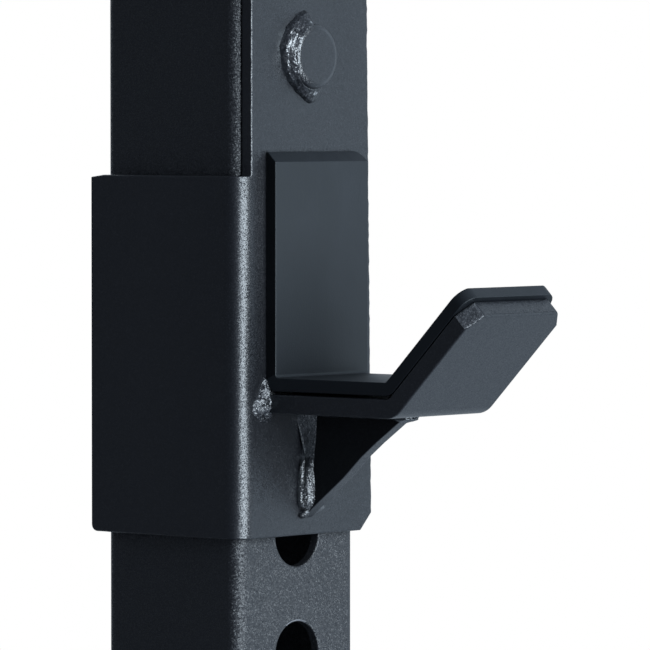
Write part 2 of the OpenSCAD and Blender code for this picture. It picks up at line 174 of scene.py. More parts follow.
def round_poly(pts, radii, n=5):
    """A closed outline with each corner rounded by its radius."""
    out = []
    m = len(pts)
    for i in range(m):
        p0, p, p1 = (np.array(pts[(i + k) % m], float) for k in (-1, 0, 1))
        r = radii[i] if isinstance(radii, (list, tuple)) else radii
        a, b = (p0 - p), (p1 - p)
        la, lb = np.linalg.norm(a), np.linalg.norm(b)
        a, b = a / la, b / lb
        ang = math.acos(max(-1, min(1, float(a @ b))))
        if r <= 1e-6 or ang > PI - 0.02:
            out.append(tuple(p))
            continue
        t = min(r / math.tan(ang / 2), la * 0.49, lb * 0.49)
        rr = t * math.tan(ang / 2)
        c = p + (a + b) / np.linalg.norm(a + b) * (rr / math.sin(ang / 2))
        s, e = p + a * t, p + b * t
        a0, a1 = math.atan2(*(s - c)[::-1]), math.atan2(*(e - c)[::-1])
        d = (a1 - a0 + PI) % (2 * PI) - PI
        for k in range(n + 1):
            q = a0 + d * k / n
            out.append((c[0] + rr * math.cos(q), c[1] + rr * math.sin(q)))
    return out


def signed_area(pts):
    x, y = np.array(pts, float).T
    return 0.5 * float(np.sum(x * np.roll(y, -1) - y * np.roll(x, -1)))


def offset(pts, d):
    """Moves a counter-clockwise outline inward by d."""
    p = np.array(pts, float)
    e = np.roll(p, -1, 0) - p
    e /= np.maximum(np.linalg.norm(e, axis=1), 1e-9)[:, None]
    nn = np.stack([-e[:, 1], e[:, 0]], 1)
    n0 = np.roll(nn, 1, 0)
    m = (nn + n0) / np.maximum(1 + np.sum(nn * n0, 1), 0.2)[:, None]
    return p + m * d


def tess(loops):
    """Triangles, counter-clockwise, of an outline with holes."""
    flat = [p for l in loops for p in l]
    tris = tessellate_polygon([[Vector((p[0], p[1], 0)) for p in l] for l in loops])
    out = []
    for i, j, k in tris:
        a, b, c = flat[i], flat[j], flat[k]
        ar = (b[0] - a[0]) * (c[1] - a[1]) - (b[1] - a[1]) * (c[0] - a[0])
        if abs(ar) < 1e-9:
            continue
        out.append((i, j, k) if ar > 0 else (i, k, j))
    return out


def plate(outline, t, e=0.5, holes=(), n=3, hole_e=None, e_top=None):
    """A flat plate from z = 0 to t with rounded rims; holes are (x, y, r, segments)."""
    if signed_area(outline) < 0:
        outline = outline[::-1]
    hole_e = e if hole_e is None else hole_e
    e_top = e if e_top is None else e_top
    steps = [90 - 90 * i / n for i in range(n + 1)]
    prof = [((1 - math.cos(math.radians(a))), (1 - math.sin(math.radians(a))), 0) for a in steps]
    prof += [((1 - math.cos(math.radians(a))), (1 - math.sin(math.radians(a))), 1) for a in reversed(steps)]
    verts, faces = [], []
    rings = []
    for off, dz, top in prof:
        pts = offset(outline, off * (e_top if top else e))
        z = t - dz * e_top if top else dz * e
        rings.append(len(verts))
        verts += [(x, y, z) for x, y in pts]
    m = len(outline)
    for a, b in zip(rings, rings[1:]):
        for i in range(m):
            j = (i + 1) % m
            faces.append((a + i, a + j, b + j, b + i))
    bottoms, tops = [list(range(rings[0], rings[0] + m))], [list(range(rings[-1], rings[-1] + m))]
    for (hx, hy, r, seg) in holes:
        hr = []
        for off, dz, top in prof:
            z = t - dz * hole_e if top else dz * hole_e
            hr.append(len(verts))
            verts += [(x, y, z) for x, y in circle(hx, hy, r + off * hole_e, seg)]
        for a, b in zip(hr, hr[1:]):
            for i in range(seg):
                j = (i + 1) % seg
                faces.append((a + j, a + i, b + i, b + j))
        bottoms.append(list(range(hr[0], hr[0] + seg)))
        tops.append(list(range(hr[-1], hr[-1] + seg)))
    for loops, up in ((tops, True), (bottoms, False)):
        idx = [i for l in loops for i in l]
        for tri in tess([[(verts[i][0], verts[i][1]) for i in l] for l in loops]):
            f = tuple(idx[i] for i in tri)
            faces.append(f if up else f[::-1])
    return np.array(verts), faces


def cut_through(verts, faces, planes):
    """Splits a mesh along planes, without removing anything."""
    bm = bmesh.new()
    vs = [bm.verts.new(p) for p in verts]
    for f in faces:
        try:
            bm.faces.new([vs[i] for i in f])
        except ValueError:
            pass
    for co, no in planes:
        geom = bm.verts[:] + bm.edges[:] + bm.faces[:]
        bmesh.ops.bisect_plane(bm, geom=geom, dist=1e-5, plane_co=co, plane_no=no)
    return from_bm(bm)


def from_bm(bm):
    bm.verts.index_update()
    v = np.array([tuple(x.co) for x in bm.verts])
    f = [tuple(x.index for x in fc.verts) for fc in bm.faces]
    bm.free()
    return v, f


def lathe(profile, seg=48, closed=True):
    """Turns (r, z) points round Z; the profile starts and ends on the axis or is a closed ring."""
    verts, faces, rings = [], [], []
    for r, z in profile:
        if r < 1e-6:
            rings.append((len(verts), 1))
            verts.append((0, 0, z))
        else:
            rings.append((len(verts), seg))
            verts += [(r * math.cos(2 * PI * i / seg), r * math.sin(2 * PI * i / seg), z) for i in range(seg)]
    pairs = list(zip(rings, rings[1:]))
    if profile[0][0] > 1e-6 and closed:
        pairs.append((rings[-1], rings[0]))
    for (a, na), (b, nb) in pairs:
        for i in range(seg):
            j = (i + 1) % seg
            if na == 1 and nb == 1:
                break
            if na == 1:
                faces.append((a, b + i, b + j)[::-1])
            elif nb == 1:
                faces.append((a + i, a + j, b))
            else:
                faces.append((a + i, a + j, b + j, b + i))
    v = np.array(verts)
    # the profile runs from low z to high z, so that faces look outward
    return v, faces


def rounded_profile(pts, r, n=3):
    """Rounds the corners of an open (r, z) profile that are not on the axis."""
    out = []
    for i, p in enumerate(pts):
        if i in (0, len(pts) - 1):
            out.append(tuple(p))
            continue
        p0, pp, p1 = (np.array(pts[i + k], float) for k in (-1, 0, 1))
        a, b = p0 - pp, p1 - pp
        la, lb = np.linalg.norm(a), np.linalg.norm(b)
        t = min(r, la * 0.45, lb * 0.45)
        s, e = pp + a / la * t, pp + b / lb * t
        for k in range(n + 1):
            q = k / n
            out.append(tuple((1 - q) ** 2 * s + 2 * q * (1 - q) * pp + q * q * e))
    return out


def sweep_rings(rings, closed_path, cap=True):
    """Joins rings of equal length into a tube."""
    m = len(rings[0])
    verts = [p for r in rings for p in r]
    faces = []
    k = len(rings)
    for a in range(k if closed_path else k - 1):
        b = (a + 1) % k
        for i in range(m):
            j = (i + 1) % m
            faces.append((a * m + i, a * m + j, b * m + j, b * m + i))
    if not closed_path and cap:
        for a, rev in ((0, True), (k - 1, False)):
            c = len(verts)
            verts.append(tuple(np.mean(np.array(rings[a]), 0)))
            for i in range(m):
                j = (i + 1) % m
                f = (a * m + i, a * m + j, c)
                faces.append(f[::-1] if rev else f)
    return np.array(verts), faces


def orient(verts, faces):
    """Makes the normals of closed solids look outward."""
    bm = bmesh.new()
    vs = [bm.verts.new(p) for p in verts]
    for f in faces:
        try:
            bm.faces.new([vs[i] for i in f])
        except ValueError:
            pass
    bmesh.ops.recalc_face_normals(bm, faces=bm.faces[:])
    return from_bm(bm)


def bead(path, A, B, la, lb, closed=False, q=1.35, pitch=2.6, amp=0.09, rough=0.35, seed=1.0, m=9, taper=4.0):
    """A fillet weld along path; A and B point along the two joined faces."""
    path, A, B = (np.asarray(x, float) for x in (path, A, B))
    n = len(path)
    seg = np.linalg.norm(np.diff(path, axis=0), axis=1)
    s = np.concatenate([[0], np.cumsum(seg)])
    total = s[-1]
    rings = []
    for i in range(n):
        k = 1.0
        if not closed:
            d = min(s[i], total - s[i])
            k = 0.35 + 0.65 * math.sqrt(min(1.0, d / taper) * (2 - min(1.0, d / taper)))
        out = -(A[i] + B[i])
        out /= np.linalg.norm(out)
        ring = []
        for j in range(m):
            t = j / (m - 1)
            ca, cb = abs(math.cos(t * PI / 2)) ** q, abs(math.sin(t * PI / 2)) ** q
            ph = s[i] / pitch + 0.55 * (2 * t - 1) ** 2
            rip = 1 - 2 * abs((ph % 1.0) - 0.5)
            edge = math.sin(PI * t) ** 0.6 if 0 < t < 1 else 0.0
            p = path[i] + A[i] * la * ca * k + B[i] * lb * cb * k
            nz = fractal(p, 2.2, 3, seed)
            wob = fractal(p, 9.0, 2, seed + 3)
            p = p - out * k * edge * (amp * 2.2 * (rip ** 0.7 - 0.5) + rough * 0.45 * nz)
            p = p + (A[i] * ca + B[i] * cb) * (0.35 * wob) * k
            ring.append(tuple(p))
        ring.append(tuple(path[i] + out * 0.8))
        rings.append(ring)
    v, f = sweep_rings(rings, closed)
    return orient(v, f)


def dense(points, step):
    """Adds points along a broken line."""
    out = []
    p = np.asarray(points, float)
    for a, b in zip(p, p[1:]):
        k = max(1, int(round(np.linalg.norm(b - a) / step)))
        out += [a + (b - a) * i / k for i in range(k)]
    out.append(p[-1])
    return np.array(out)


# ------------------------------------------------------------------ materials
def lin(r, g, b):
    return tuple(((c / 255) / 12.92 if c / 255 <= 0.04045 else ((c / 255 + 0.055) / 1.055) ** 2.4) for c in (r, g, b))


class Mat:
    def __init__(self, name):
        self.m = bpy.data.materials.new(name)
        self.m.use_nodes = True
        self.nt = self.m.node_tree
        self.nt.nodes.clear()
        self.out = self.nt.nodes.new("ShaderNodeOutputMaterial")
        self.b = self.nt.nodes.new("ShaderNodeBsdfPrincipled")
        self.nt.links.new(self.b.outputs[0], self.out.inputs[0])
        tc = self.nt.nodes.new("ShaderNodeTexCoord")
        self.co = tc.outputs["Object"]

    def link(self, a, b):
        self.nt.links.new(a, b)

    def set(self, **kw):
        names = {"base": "Base Color", "metal": "Metallic", "rough": "Roughness", "ior": "IOR", "coat": "Coat Weight",
                 "coat_rough": "Coat Roughness", "spec": "Specular IOR Level", "sheen": "Sheen Weight",
                 "sheen_rough": "Sheen Roughness", "aniso": "Anisotropic", "sub": "Subsurface Weight",
                 "tint": "Specular Tint", "glow": "Emission Strength", "glow_colour": "Emission Color"}
        for k, v in kw.items():
            s = self.b.inputs[names[k]]
            s.default_value = (*v, 1.0) if hasattr(v, "__len__") else v

    def mapping(self, scale=(1, 1, 1)):
        n = self.nt.nodes.new("ShaderNodeMapping")
        n.inputs["Scale"].default_value = scale
        self.link(self.co, n.inputs["Vector"])
        return n.outputs[0]

    def noise(self, scale, detail=2.0, rough=0.5, dist=0.0, co=None):
        n = self.nt.nodes.new("ShaderNodeTexNoise")
        n.inputs["Scale"].default_value = scale
        n.inputs["Detail"].default_value = detail
        n.inputs["Roughness"].default_value = rough
        n.inputs["Distortion"].default_value = dist
        self.link(co or self.co, n.inputs["Vector"])
        return n.outputs["Fac"]

    def voronoi(self, scale, feature="F1", co=None, out="Distance"):
        n = self.nt.nodes.new("ShaderNodeTexVoronoi")
        n.feature = feature
        n.inputs["Scale"].default_value = scale
        self.link(co or self.co, n.inputs["Vector"])
        return n.outputs[out]

    def ramp(self, fac, stops):
        n = self.nt.nodes.new("ShaderNodeValToRGB")
        e = n.color_ramp.elements
        while len(e) < len(stops):
            e.new(0.5)
        for el, (p, c) in zip(e, stops):
            el.position = p
            el.color = (*c, 1.0) if hasattr(c, "__len__") else (c, c, c, 1.0)
        self.link(fac, n.inputs[0])
        return n.outputs[0]

    def math(self, op, a, b=None, clamp=False):
        n = self.nt.nodes.new("ShaderNodeMath")
        n.operation = op
        n.use_clamp = clamp
        for s, x in zip(n.inputs, (a, b)):
            if x is None:
                continue
            if isinstance(x, (int, float)):
                s.default_value = x
            else:
                self.link(x, s)
        return n.outputs[0]

    def rng(self, x, lo, hi, a=0.0, b=1.0):
        n = self.nt.nodes.new("ShaderNodeMapRange")
        for s, v in zip(("From Min", "From Max", "To Min", "To Max"), (a, b, lo, hi)):
            n.inputs[s].default_value = v
        self.link(x, n.inputs["Value"])
        return n.outputs[0]

    def mix(self, fac, a, b, kind="MIX"):
        n = self.nt.nodes.new("ShaderNodeMix")
        n.data_type = "RGBA"
        n.blend_type = kind
        for s, x in ((n.inputs[0], fac), (n.inputs[6], a), (n.inputs[7], b)):
            if isinstance(x, (int, float)):
                s.default_value = x
            elif isinstance(x, tuple):
                s.default_value = (*x, 1.0)
            else:
                self.link(x, s)
        return n.outputs[2]

    def bump(self, height, distance, strength=1.0, normal=None):
        n = self.nt.nodes.new("ShaderNodeBump")
        n.inputs["Strength"].default_value = strength
        n.inputs["Distance"].default_value = distance
        self.link(height, n.inputs["Height"])
        if normal is not None:
            self.link(normal, n.inputs["Normal"])
        return n.outputs[0]

    def vec(self, op, a, b=None, scale=None):
        n = self.nt.nodes.new("ShaderNodeVectorMath")
        n.operation = op
        for s, x in zip(n.inputs, (a, b)):
            if isinstance(x, tuple):
                s.default_value = x
            elif x is not None:
                self.link(x, s)
        if scale is not None:
            n.inputs["Scale"].default_value = scale
        return n.outputs[0]

    def facets(self, cells, tilt, normal):
        """Leans the normal by a random amount in each cell, as the flakes in a coat do;
        tilt is how far across and how far up or down."""
        lean = self.vec("MULTIPLY", self.vec("SUBTRACT", cells, (0.5, 0.5, 0.5)), (tilt[0], tilt[0], tilt[1]))
        return self.vec("NORMALIZE", self.vec("ADD", normal, lean))


TINT = (0.82, 0.925, 1.0)


def powder_coat(name, base, flake, rough, grain, metal=0.0, spec=1.0, cell=1500.0, tilt=(0.35, 0.35), vary=0.2, speck=0.5):
    """Textured metallic powder coat: soft orange peel, fine flakes that lean every
    way, slight colour drift."""
    m = Mat(name)
    fine = m.noise(2300.0, 1.0, 0.5)
    peel = m.noise(420.0, 2.0, 0.5)
    broad = m.noise(7.0, 4.0, 0.55)
    streak = m.noise(30.0, 3.0, 0.6, co=m.mapping((1.0, 1.0, 0.12)))
    cells = m.voronoi(cell, out="Color")
    drift = m.math("ADD", m.math("MULTIPLY", broad, 0.6), m.math("MULTIPLY", streak, 0.4))
    dark = tuple(c * 0.84 for c in base)
    light = tuple(c * 1.16 for c in base)
    col = m.ramp(drift, [(0.32, dark), (0.5, base), (0.68, light)])
    specks = m.ramp(fine, [(0.56, 0.0), (0.72, speck)])
    col = m.mix(specks, col, flake)
    m.link(col, m.b.inputs["Base Color"])
    lot = m.rng(cells, -0.5, 0.5)
    r = m.math("ADD", m.rng(drift, rough - 0.03, rough + 0.03, 0.3, 0.7), m.math("MULTIPLY", lot, vary))
    m.link(r, m.b.inputs["Roughness"])
    h = m.math("ADD", m.math("MULTIPLY", fine, 0.6), m.math("MULTIPLY", peel, 0.6))
    m.link(m.facets(cells, tilt, m.bump(h, grain)), m.b.inputs["Normal"])
    m.set(metal=metal, spec=spec, tint=TINT)
    return m.m


def weld_paint(name, base, flake, rough, coarse, metal=0.0, cell=1400.0, tilt=(0.35, 0.35), ior=1.5):
    """The same coat over rough weld metal or a torch-cut face."""
    m = Mat(name)
    fine = m.noise(1300.0, 2.0, 0.6)
    lumps = m.voronoi(620.0)
    cells = m.voronoi(cell, out="Color")
    mid = m.noise(380.0, 4.0, 0.6, 0.6)
    col = m.ramp(mid, [(0.3, tuple(c * 0.7 for c in base)), (0.55, base), (0.75, tuple(c * 1.35 for c in base))])
    col = m.mix(m.ramp(fine, [(0.55, 0.0), (0.7, 0.6)]), col, flake)
    m.link(col, m.b.inputs["Base Color"])
    m.link(m.rng(mid, rough - 0.08, rough + 0.1, 0.3, 0.7), m.b.inputs["Roughness"])
    h = m.math("ADD", m.math("MULTIPLY", mid, 1.0), m.math("ADD", m.math("MULTIPLY", lumps, 0.5), m.math("MULTIPLY", fine, 0.3)))
    m.link(m.facets(cells, tilt, m.bump(h, coarse)), m.b.inputs["Normal"])
    m.set(metal=metal, spec=1.0, tint=TINT, ior=ior)
    return m.m


def moulded(name, base, rough, grain, scale=1900.0, spec=0.5, drift=0.12, tint=(1.0, 1.0, 1.0)):
    """Moulded plastic with a fine satin grain and faint handling marks."""
    m = Mat(name)
    fine = m.noise(scale, 2.0, 0.55)
    broad = m.noise(16.0, 4.0, 0.6)
    marks = m.noise(150.0, 3.0, 0.7, 0.4, co=m.mapping((1.0, 1.0, 0.18)))
    col = m.ramp(broad, [(0.3, tuple(c * (1 - drift) for c in base)), (0.5, base), (0.72, tuple(c * (1 + drift) for c in base))])
    col = m.mix(m.ramp(marks, [(0.62, 0.0), (0.8, 0.25)]), col, tuple(c * 1.5 for c in base))
    smudge = m.noise(24.0, 5.0, 0.62, 0.5, co=m.mapping((1.0, 1.0, 0.6)))
    col = m.mix(m.ramp(smudge, [(0.50, 0.0), (0.72, 0.55)]), col, tuple(c + k for c, k in zip(base, (0.005, 0.006, 0.009))))
    m.link(col, m.b.inputs["Base Color"])
    r = m.math("ADD", m.rng(broad, rough - 0.05, rough + 0.06, 0.3, 0.7), m.math("MULTIPLY", m.math("SUBTRACT", marks, 0.5), 0.15))
    m.link(r, m.b.inputs["Roughness"])
    h = m.math("ADD", m.math("MULTIPLY", fine, 0.7), m.math("MULTIPLY", marks, 0.4))
    m.link(m.bump(h, grain), m.b.inputs["Normal"])
    m.set(spec=spec, tint=tint)
    return m.m


def zinc(name, base, rough, metal=1.0):
    """Plated steel with a fine crystalline drift."""
    m = Mat(name)
    cells = m.voronoi(240.0, out="Color")
    broad = m.noise(60.0, 4.0, 0.6)
    fine = m.noise(2200.0, 2.0, 0.5)
    tone = m.math("ADD", m.math("MULTIPLY", m.rng(cells, 0.0, 1.0), 0.3), m.math("MULTIPLY", broad, 0.7))
    col = m.ramp(tone, [(0.25, tuple(c * 0.78 for c in base)), (0.5, base), (0.75, tuple(min(1, c * 1.2) for c in base))])
    m.link(col, m.b.inputs["Base Color"])
    m.link(m.rng(tone, rough - 0.07, rough + 0.09, 0.25, 0.75), m.b.inputs["Roughness"])
    h = m.math("ADD", m.math("MULTIPLY", fine, 0.5), m.math("MULTIPLY", broad, 0.6))
    m.link(m.bump(h, 0.00004), m.b.inputs["Normal"])
    m.set(metal=metal)
    return m.m


def drawn_steel(name, base, rough):
    """Bright steel bar, drawn lengthwise along Y, with fine lines and faint rub marks."""
    m = Mat(name)
    lines = m.noise(1400.0, 3.0, 0.6, co=m.mapping((1.0, 0.02, 1.0)))
    rub = m.noise(70.0, 4.0, 0.65, 0.3, co=m.mapping((1.0, 0.25, 1.0)))
    col = m.ramp(rub, [(0.3, tuple(c * 0.8 for c in base)), (0.55, base), (0.8, tuple(min(1, c * 1.12) for c in base))])
    m.link(col, m.b.inputs["Base Color"])
    m.link(m.math("ADD", m.rng(rub, rough - 0.06, rough + 0.1, 0.3, 0.7), m.math("MULTIPLY", m.math("SUBTRACT", lines, 0.5), 0.14)),
           m.b.inputs["Roughness"])
    m.link(m.bump(lines, 0.00003), m.b.inputs["Normal"])
    m.set(metal=1.0)
    return m.m


def rubber(name, base, rough):
    m = Mat(name)
    fine = m.noise(1700.0, 3.0, 0.6)
    broad = m.noise(40.0, 4.0, 0.6)
    col = m.ramp(broad, [(0.3, tuple(c * 0.75 for c in base)), (0.5, base), (0.75, tuple(c * 1.3 for c in base))])
    m.link(col, m.b.inputs["Base Color"])
    m.link(m.rng(broad, rough - 0.06, rough + 0.06, 0.3, 0.7), m.b.inputs["Roughness"])
    m.link(m.bump(fine, 0.00012), m.b.inputs["Normal"])
    m.set(spec=0.4, sheen=0.15, sheen_rough=0.5)
    return m.m


COAT = (0.0045, 0.0056, 0.0082)
FLAKE = (0.080, 0.093, 0.112)
frame_paint = powder_coat("frame_paint", COAT, FLAKE, 0.48, 0.00008, spec=0.79, cell=2800.0, tilt=(0.60, 0.90), vary=0.11, speck=0.3)
hook_paint = powder_coat("hook_paint", COAT, FLAKE, 0.335, 0.00003, cell=3000.0, tilt=(0.13, 0.64), vary=0.0, speck=0.2)
# painted shade: a darker, less glossy copy of the hook paint for the gusset's side faces
shade_paint = powder_coat("hook_paint_painted_shade", (0.0035, 0.0042, 0.0055), (0.022, 0.025, 0.03), 0.42, 0.00004, spec=0.26, cell=2500.0, tilt=(0.13, 0.5), vary=0.05, speck=0.2)
weld_coat = weld_paint("weld_coat", COAT, FLAKE, 0.33, 0.00022, cell=2200.0, tilt=(0.25, 0.25), ior=1.8)
# painted shade: a less reflective copy of the weld coat, for parts of the welds that should look darker
weld_shaded_coat = weld_paint("weld_coat_painted_shade", COAT, FLAKE, 0.38, 0.00022, cell=2200.0, tilt=(0.25, 0.25), ior=1.42)
torch_coat = weld_paint("torch_coat", (0.030, 0.036, 0.044), (0.12, 0.13, 0.15), 0.42, 0.00022, cell=1900.0, tilt=(0.35, 0.35))
# painted light: lighter-based weld coats that stand in for light reflected off the gusset's weld runs; the grainy one
# also stands in for highlights on its lower ridges
band_light_coat = weld_paint("weld_coat_matt_painted_light", (0.046, 0.055, 0.065), (0.16, 0.18, 0.20), 0.45, 0.0003, cell=2700.0, tilt=(0.6, 0.6), ior=1.42)
grain_highlight_coat = weld_paint("weld_coat_grainy_painted_highlight", (0.042, 0.048, 0.054), (0.22, 0.235, 0.25), 0.33, 0.00035, cell=2600.0, tilt=(0.95, 0.8), ior=1.75)
lump_coat = weld_paint("weld_coat_lump", COAT, FLAKE, 0.40, 0.0002, cell=2600.0, tilt=(0.5, 0.5), ior=1.75)
# painted highlight: a light, very glossy coat for small glints on the welds
weld_glint_coat = weld_paint("weld_coat_painted_glint", (0.10, 0.11, 0.12), (0.30, 0.32, 0.34), 0.26, 0.0003, cell=1300.0, tilt=(0.5, 0.5), ior=2.2)
# painted shade: a less glossy copy of the hook paint for the lip's cut end face
edge_shaded_coat = powder_coat("cut_edge_coat_painted_shade", COAT, FLAKE, 0.34, 0.00008, spec=0.69, cell=1700.0, tilt=(0.22, 0.25), vary=0.05, speck=0.4)
liner_mat = moulded("liner_plastic", (0.0020, 0.0032, 0.0056), 0.52, 0.00006, scale=1300.0, spec=0.53, tint=(0.76, 0.91, 1.0))
# painted shade: darker, less glossy copies of the liner plastic for the pad's upright side face and its top bevel
liner_side_shade = moulded("liner_plastic_side_painted_shade", (0.0012, 0.0018, 0.0028), 0.5, 0.00006, scale=1300.0, spec=0.22, tint=(0.80, 0.92, 1.0))
liner_bevel_shade = moulded("liner_plastic_bevel_painted_shade", (0.0018, 0.0028, 0.0050), 0.52, 0.00006, scale=1300.0, spec=0.38, tint=(0.74, 0.90, 1.0))
cap_mat = moulded("cap_plastic", (0.016, 0.018, 0.021), 0.5, 0.0001, scale=1300.0)
bolt_mat = zinc("fastener_steel", (0.16, 0.165, 0.175), 0.38)
# painted highlight: bright bare-steel material for a glint on the top arcs of the hole rims
rim_glint_mat = zinc("hole_rim_painted_glint", (0.46, 0.48, 0.51), 0.30)
rod_mat = drawn_steel("rod_steel", (0.55, 0.56, 0.58), 0.26)
grip_mat = rubber("grip_rubber", (0.018, 0.018, 0.019), 0.62)


# ------------------------------------------------------------------ uprights
def tube_mesh(z0, z1, front_holes=(), side_holes=(), levels=(), hole_r=HOLE_R, side_r=8.75, rim=0.9, seg=48, ends_rim=0.0):
    """Square tube along Z, centred on the Z axis, with holes through the front and
    rear faces and through the two side faces. levels are heights that all faces share."""
    N = 6
    flat = TUBE / 2 - R_OUT
    levels = sorted(set([z0, z1] + [z for z in levels if z0 + 1 < z < z1 - 1]))
    verts, faces = [], []

    def vert(p):
        verts.append(p)
        return len(verts) - 1

    outer, inner = [], []
    # corner strips: corner k joins side k to side k + 1; sides: 0 front, 1 right, 2 rear, 3 left
    centres = [(flat, -flat, -90), (flat, flat, 0), (-flat, flat, 90), (-flat, -flat, 180)]
    for c, (cx, cy, a0) in enumerate(centres):
        o, i_ = [], []
        for k in range(N + 1):
            a = math.radians(a0 + 90 * k / N)
            o.append([vert((cx + R_OUT * math.cos(a), cy + R_OUT * math.sin(a), z)) for z in levels])
            i_.append([vert((cx + R_IN * math.cos(a), cy + R_IN * math.sin(a), z)) for z in levels])
        outer.append(o)
        inner.append(i_)
        for k in range(N):
            for l in range(len(levels) - 1):
                faces.append((o[k][l], o[k + 1][l], o[k + 1][l + 1], o[k][l + 1]))
                faces.append((i_[k + 1][l], i_[k][l], i_[k][l + 1], i_[k + 1][l + 1]))
            faces.append((o[k][0], i_[k][0], i_[k + 1][0], o[k + 1][0]))
            faces.append((i_[k][-1], o[k][-1], o[k + 1][-1], i_[k + 1][-1]))
    for sd in range(4):
        lo, li = outer[(sd + 3) % 4][N], inner[(sd + 3) % 4][N]      # start edge of this side
        ro, ri = outer[sd][0], inner[sd][0]                          # end edge
        faces.append((lo[0], li[0], ri[0], ro[0]))
        faces.append((li[-1], lo[-1], ro[-1], ri[-1]))
        holes = front_holes if sd in (0, 2) else side_holes
        r = hole_r if sd in (0, 2) else side_r
        ang = math.radians(-90 + 90 * sd)
        nrm = (math.cos(ang), math.sin(ang))
        tan = (-math.sin(ang), math.cos(ang))
        # heights that part the side into panels, none of them through a hole
        parts = [z for z in levels if all(abs(z - h) > r + rim + 2 for h in holes)]
        if parts[0] != levels[0]:
            parts.insert(0, levels[0])
        if parts[-1] != levels[-1]:
            parts.append(levels[-1])
        for a, b in zip(parts, parts[1:]):
            ks = [k for k, z in enumerate(levels) if a - 1e-6 <= z <= b + 1e-6]
            inside = [h for h in holes if a < h < b]
            if not inside and len(ks) == 2:
                faces.append((lo[ks[0]], ro[ks[0]], ro[ks[1]], lo[ks[1]]))
                faces.append((ri[ks[0]], li[ks[0]], li[ks[1]], ri[ks[1]]))
                continue
            loops_o = [[ro[k] for k in ks] + [lo[k] for k in reversed(ks)]]
            loops_i = [[ri[k] for k in ks] + [li[k] for k in reversed(ks)]]
            flat2 = {}
            for k in ks:
                for e, u in ((ro, flat), (lo, -flat), (ri, flat), (li, -flat)):
                    flat2[e[k]] = (u, levels[k])
            d0 = TUBE / 2
            for h in inside:
                rings = []
                for off, dep in ((rim, 0.0), (rim * 0.5, rim * 0.134), (rim * 0.134, rim * 0.5), (0.0, rim), (0.0, WALL)):
                    ring = []
                    for (u, w) in circle(0, h, r + off, seg):
                        p = (nrm[0] * (d0 - dep) + tan[0] * u, nrm[1] * (d0 - dep) + tan[1] * u, w)
                        i = vert(p)
                        flat2[i] = (u, w)
                        ring.append(i)
                    rings.append(ring)
                for p, q in zip(rings, rings[1:]):
                    for i in range(seg):
                        j = (i + 1) % seg
                        faces.append((p[i], q[i], q[j], p[j])[::-1])
                loops_o.append(rings[0])
                loops_i.append(rings[-1])
            for loops, outw in ((loops_o, True), (loops_i, False)):
                idx = [i for l in loops for i in l]
                for tri in tess([[flat2[i] for i in l] for l in loops]):
                    f = tuple(idx[i] for i in tri)
                    faces.append(f if outw else f[::-1])
    return np.array(verts), faces


front_row = [HOLE0 + k * PITCH for k in range(HOLES)]
cell_levels = [HOLE0 - PITCH / 2 + k * PITCH for k in range(HOLES + 1)]
base_side = [HOLE0 + PITCH / 2, HOLE0 + 1.5 * PITCH]
top_side = [HOLE_LAST - 1.5 * PITCH, HOLE_LAST - PITCH / 2]
for s, sn in ((-1, "left"), (1, "right")):
    for y, yn in ((0.0, "front"), (REAR, "rear")):
        side = top_side + (base_side if yn == "rear" else [])
        v, f = tube_mesh(UP0, UP1, front_row, side, cell_levels)
        # painted highlight: the top arcs of each hole's rim take bright bare-steel material, standing in for a glint of
        # light from below
        fm = []
        for g in f:
            c = v[list(g)].mean(0)
            k = round((c[2] - HOLE0) / PITCH)
            dx, dz = c[0], c[2] - HOLE0 - k * PITCH
            rr, aa = math.hypot(dx, dz), math.degrees(math.atan2(dz, dx))
            on_rim = HOLE_R + 0.02 < rr < HOLE_R + 0.75 and TUBE / 2 - 0.85 < abs(c[1]) < TUBE / 2 - 0.01
            fm.append(1 if on_rim and 0 <= k < HOLES and 68 < aa < 118 else 0)
        emit(f"{yn}_{sn}_post", v, f, [frame_paint, rim_glint_mat], "frame", place=side_frame(s, y + TUBE / 2),
             replaces=(f"upright_{yn}_{sn}",), slot="frame_coating", face_mat=fm)


# ------------------------------------------------------------------ foot plates, caps, rails
def plate_y(v):
    """Stands a plate drawn in (x, z) up, its thickness running along +Y."""
    return np.stack([v[:, 0], v[:, 2], v[:, 1]], 1)


def plate_x(v):
    """Stands a plate drawn in (y, z) up, its thickness running along +X."""
    return np.stack([v[:, 2], v[:, 0], v[:, 1]], 1)


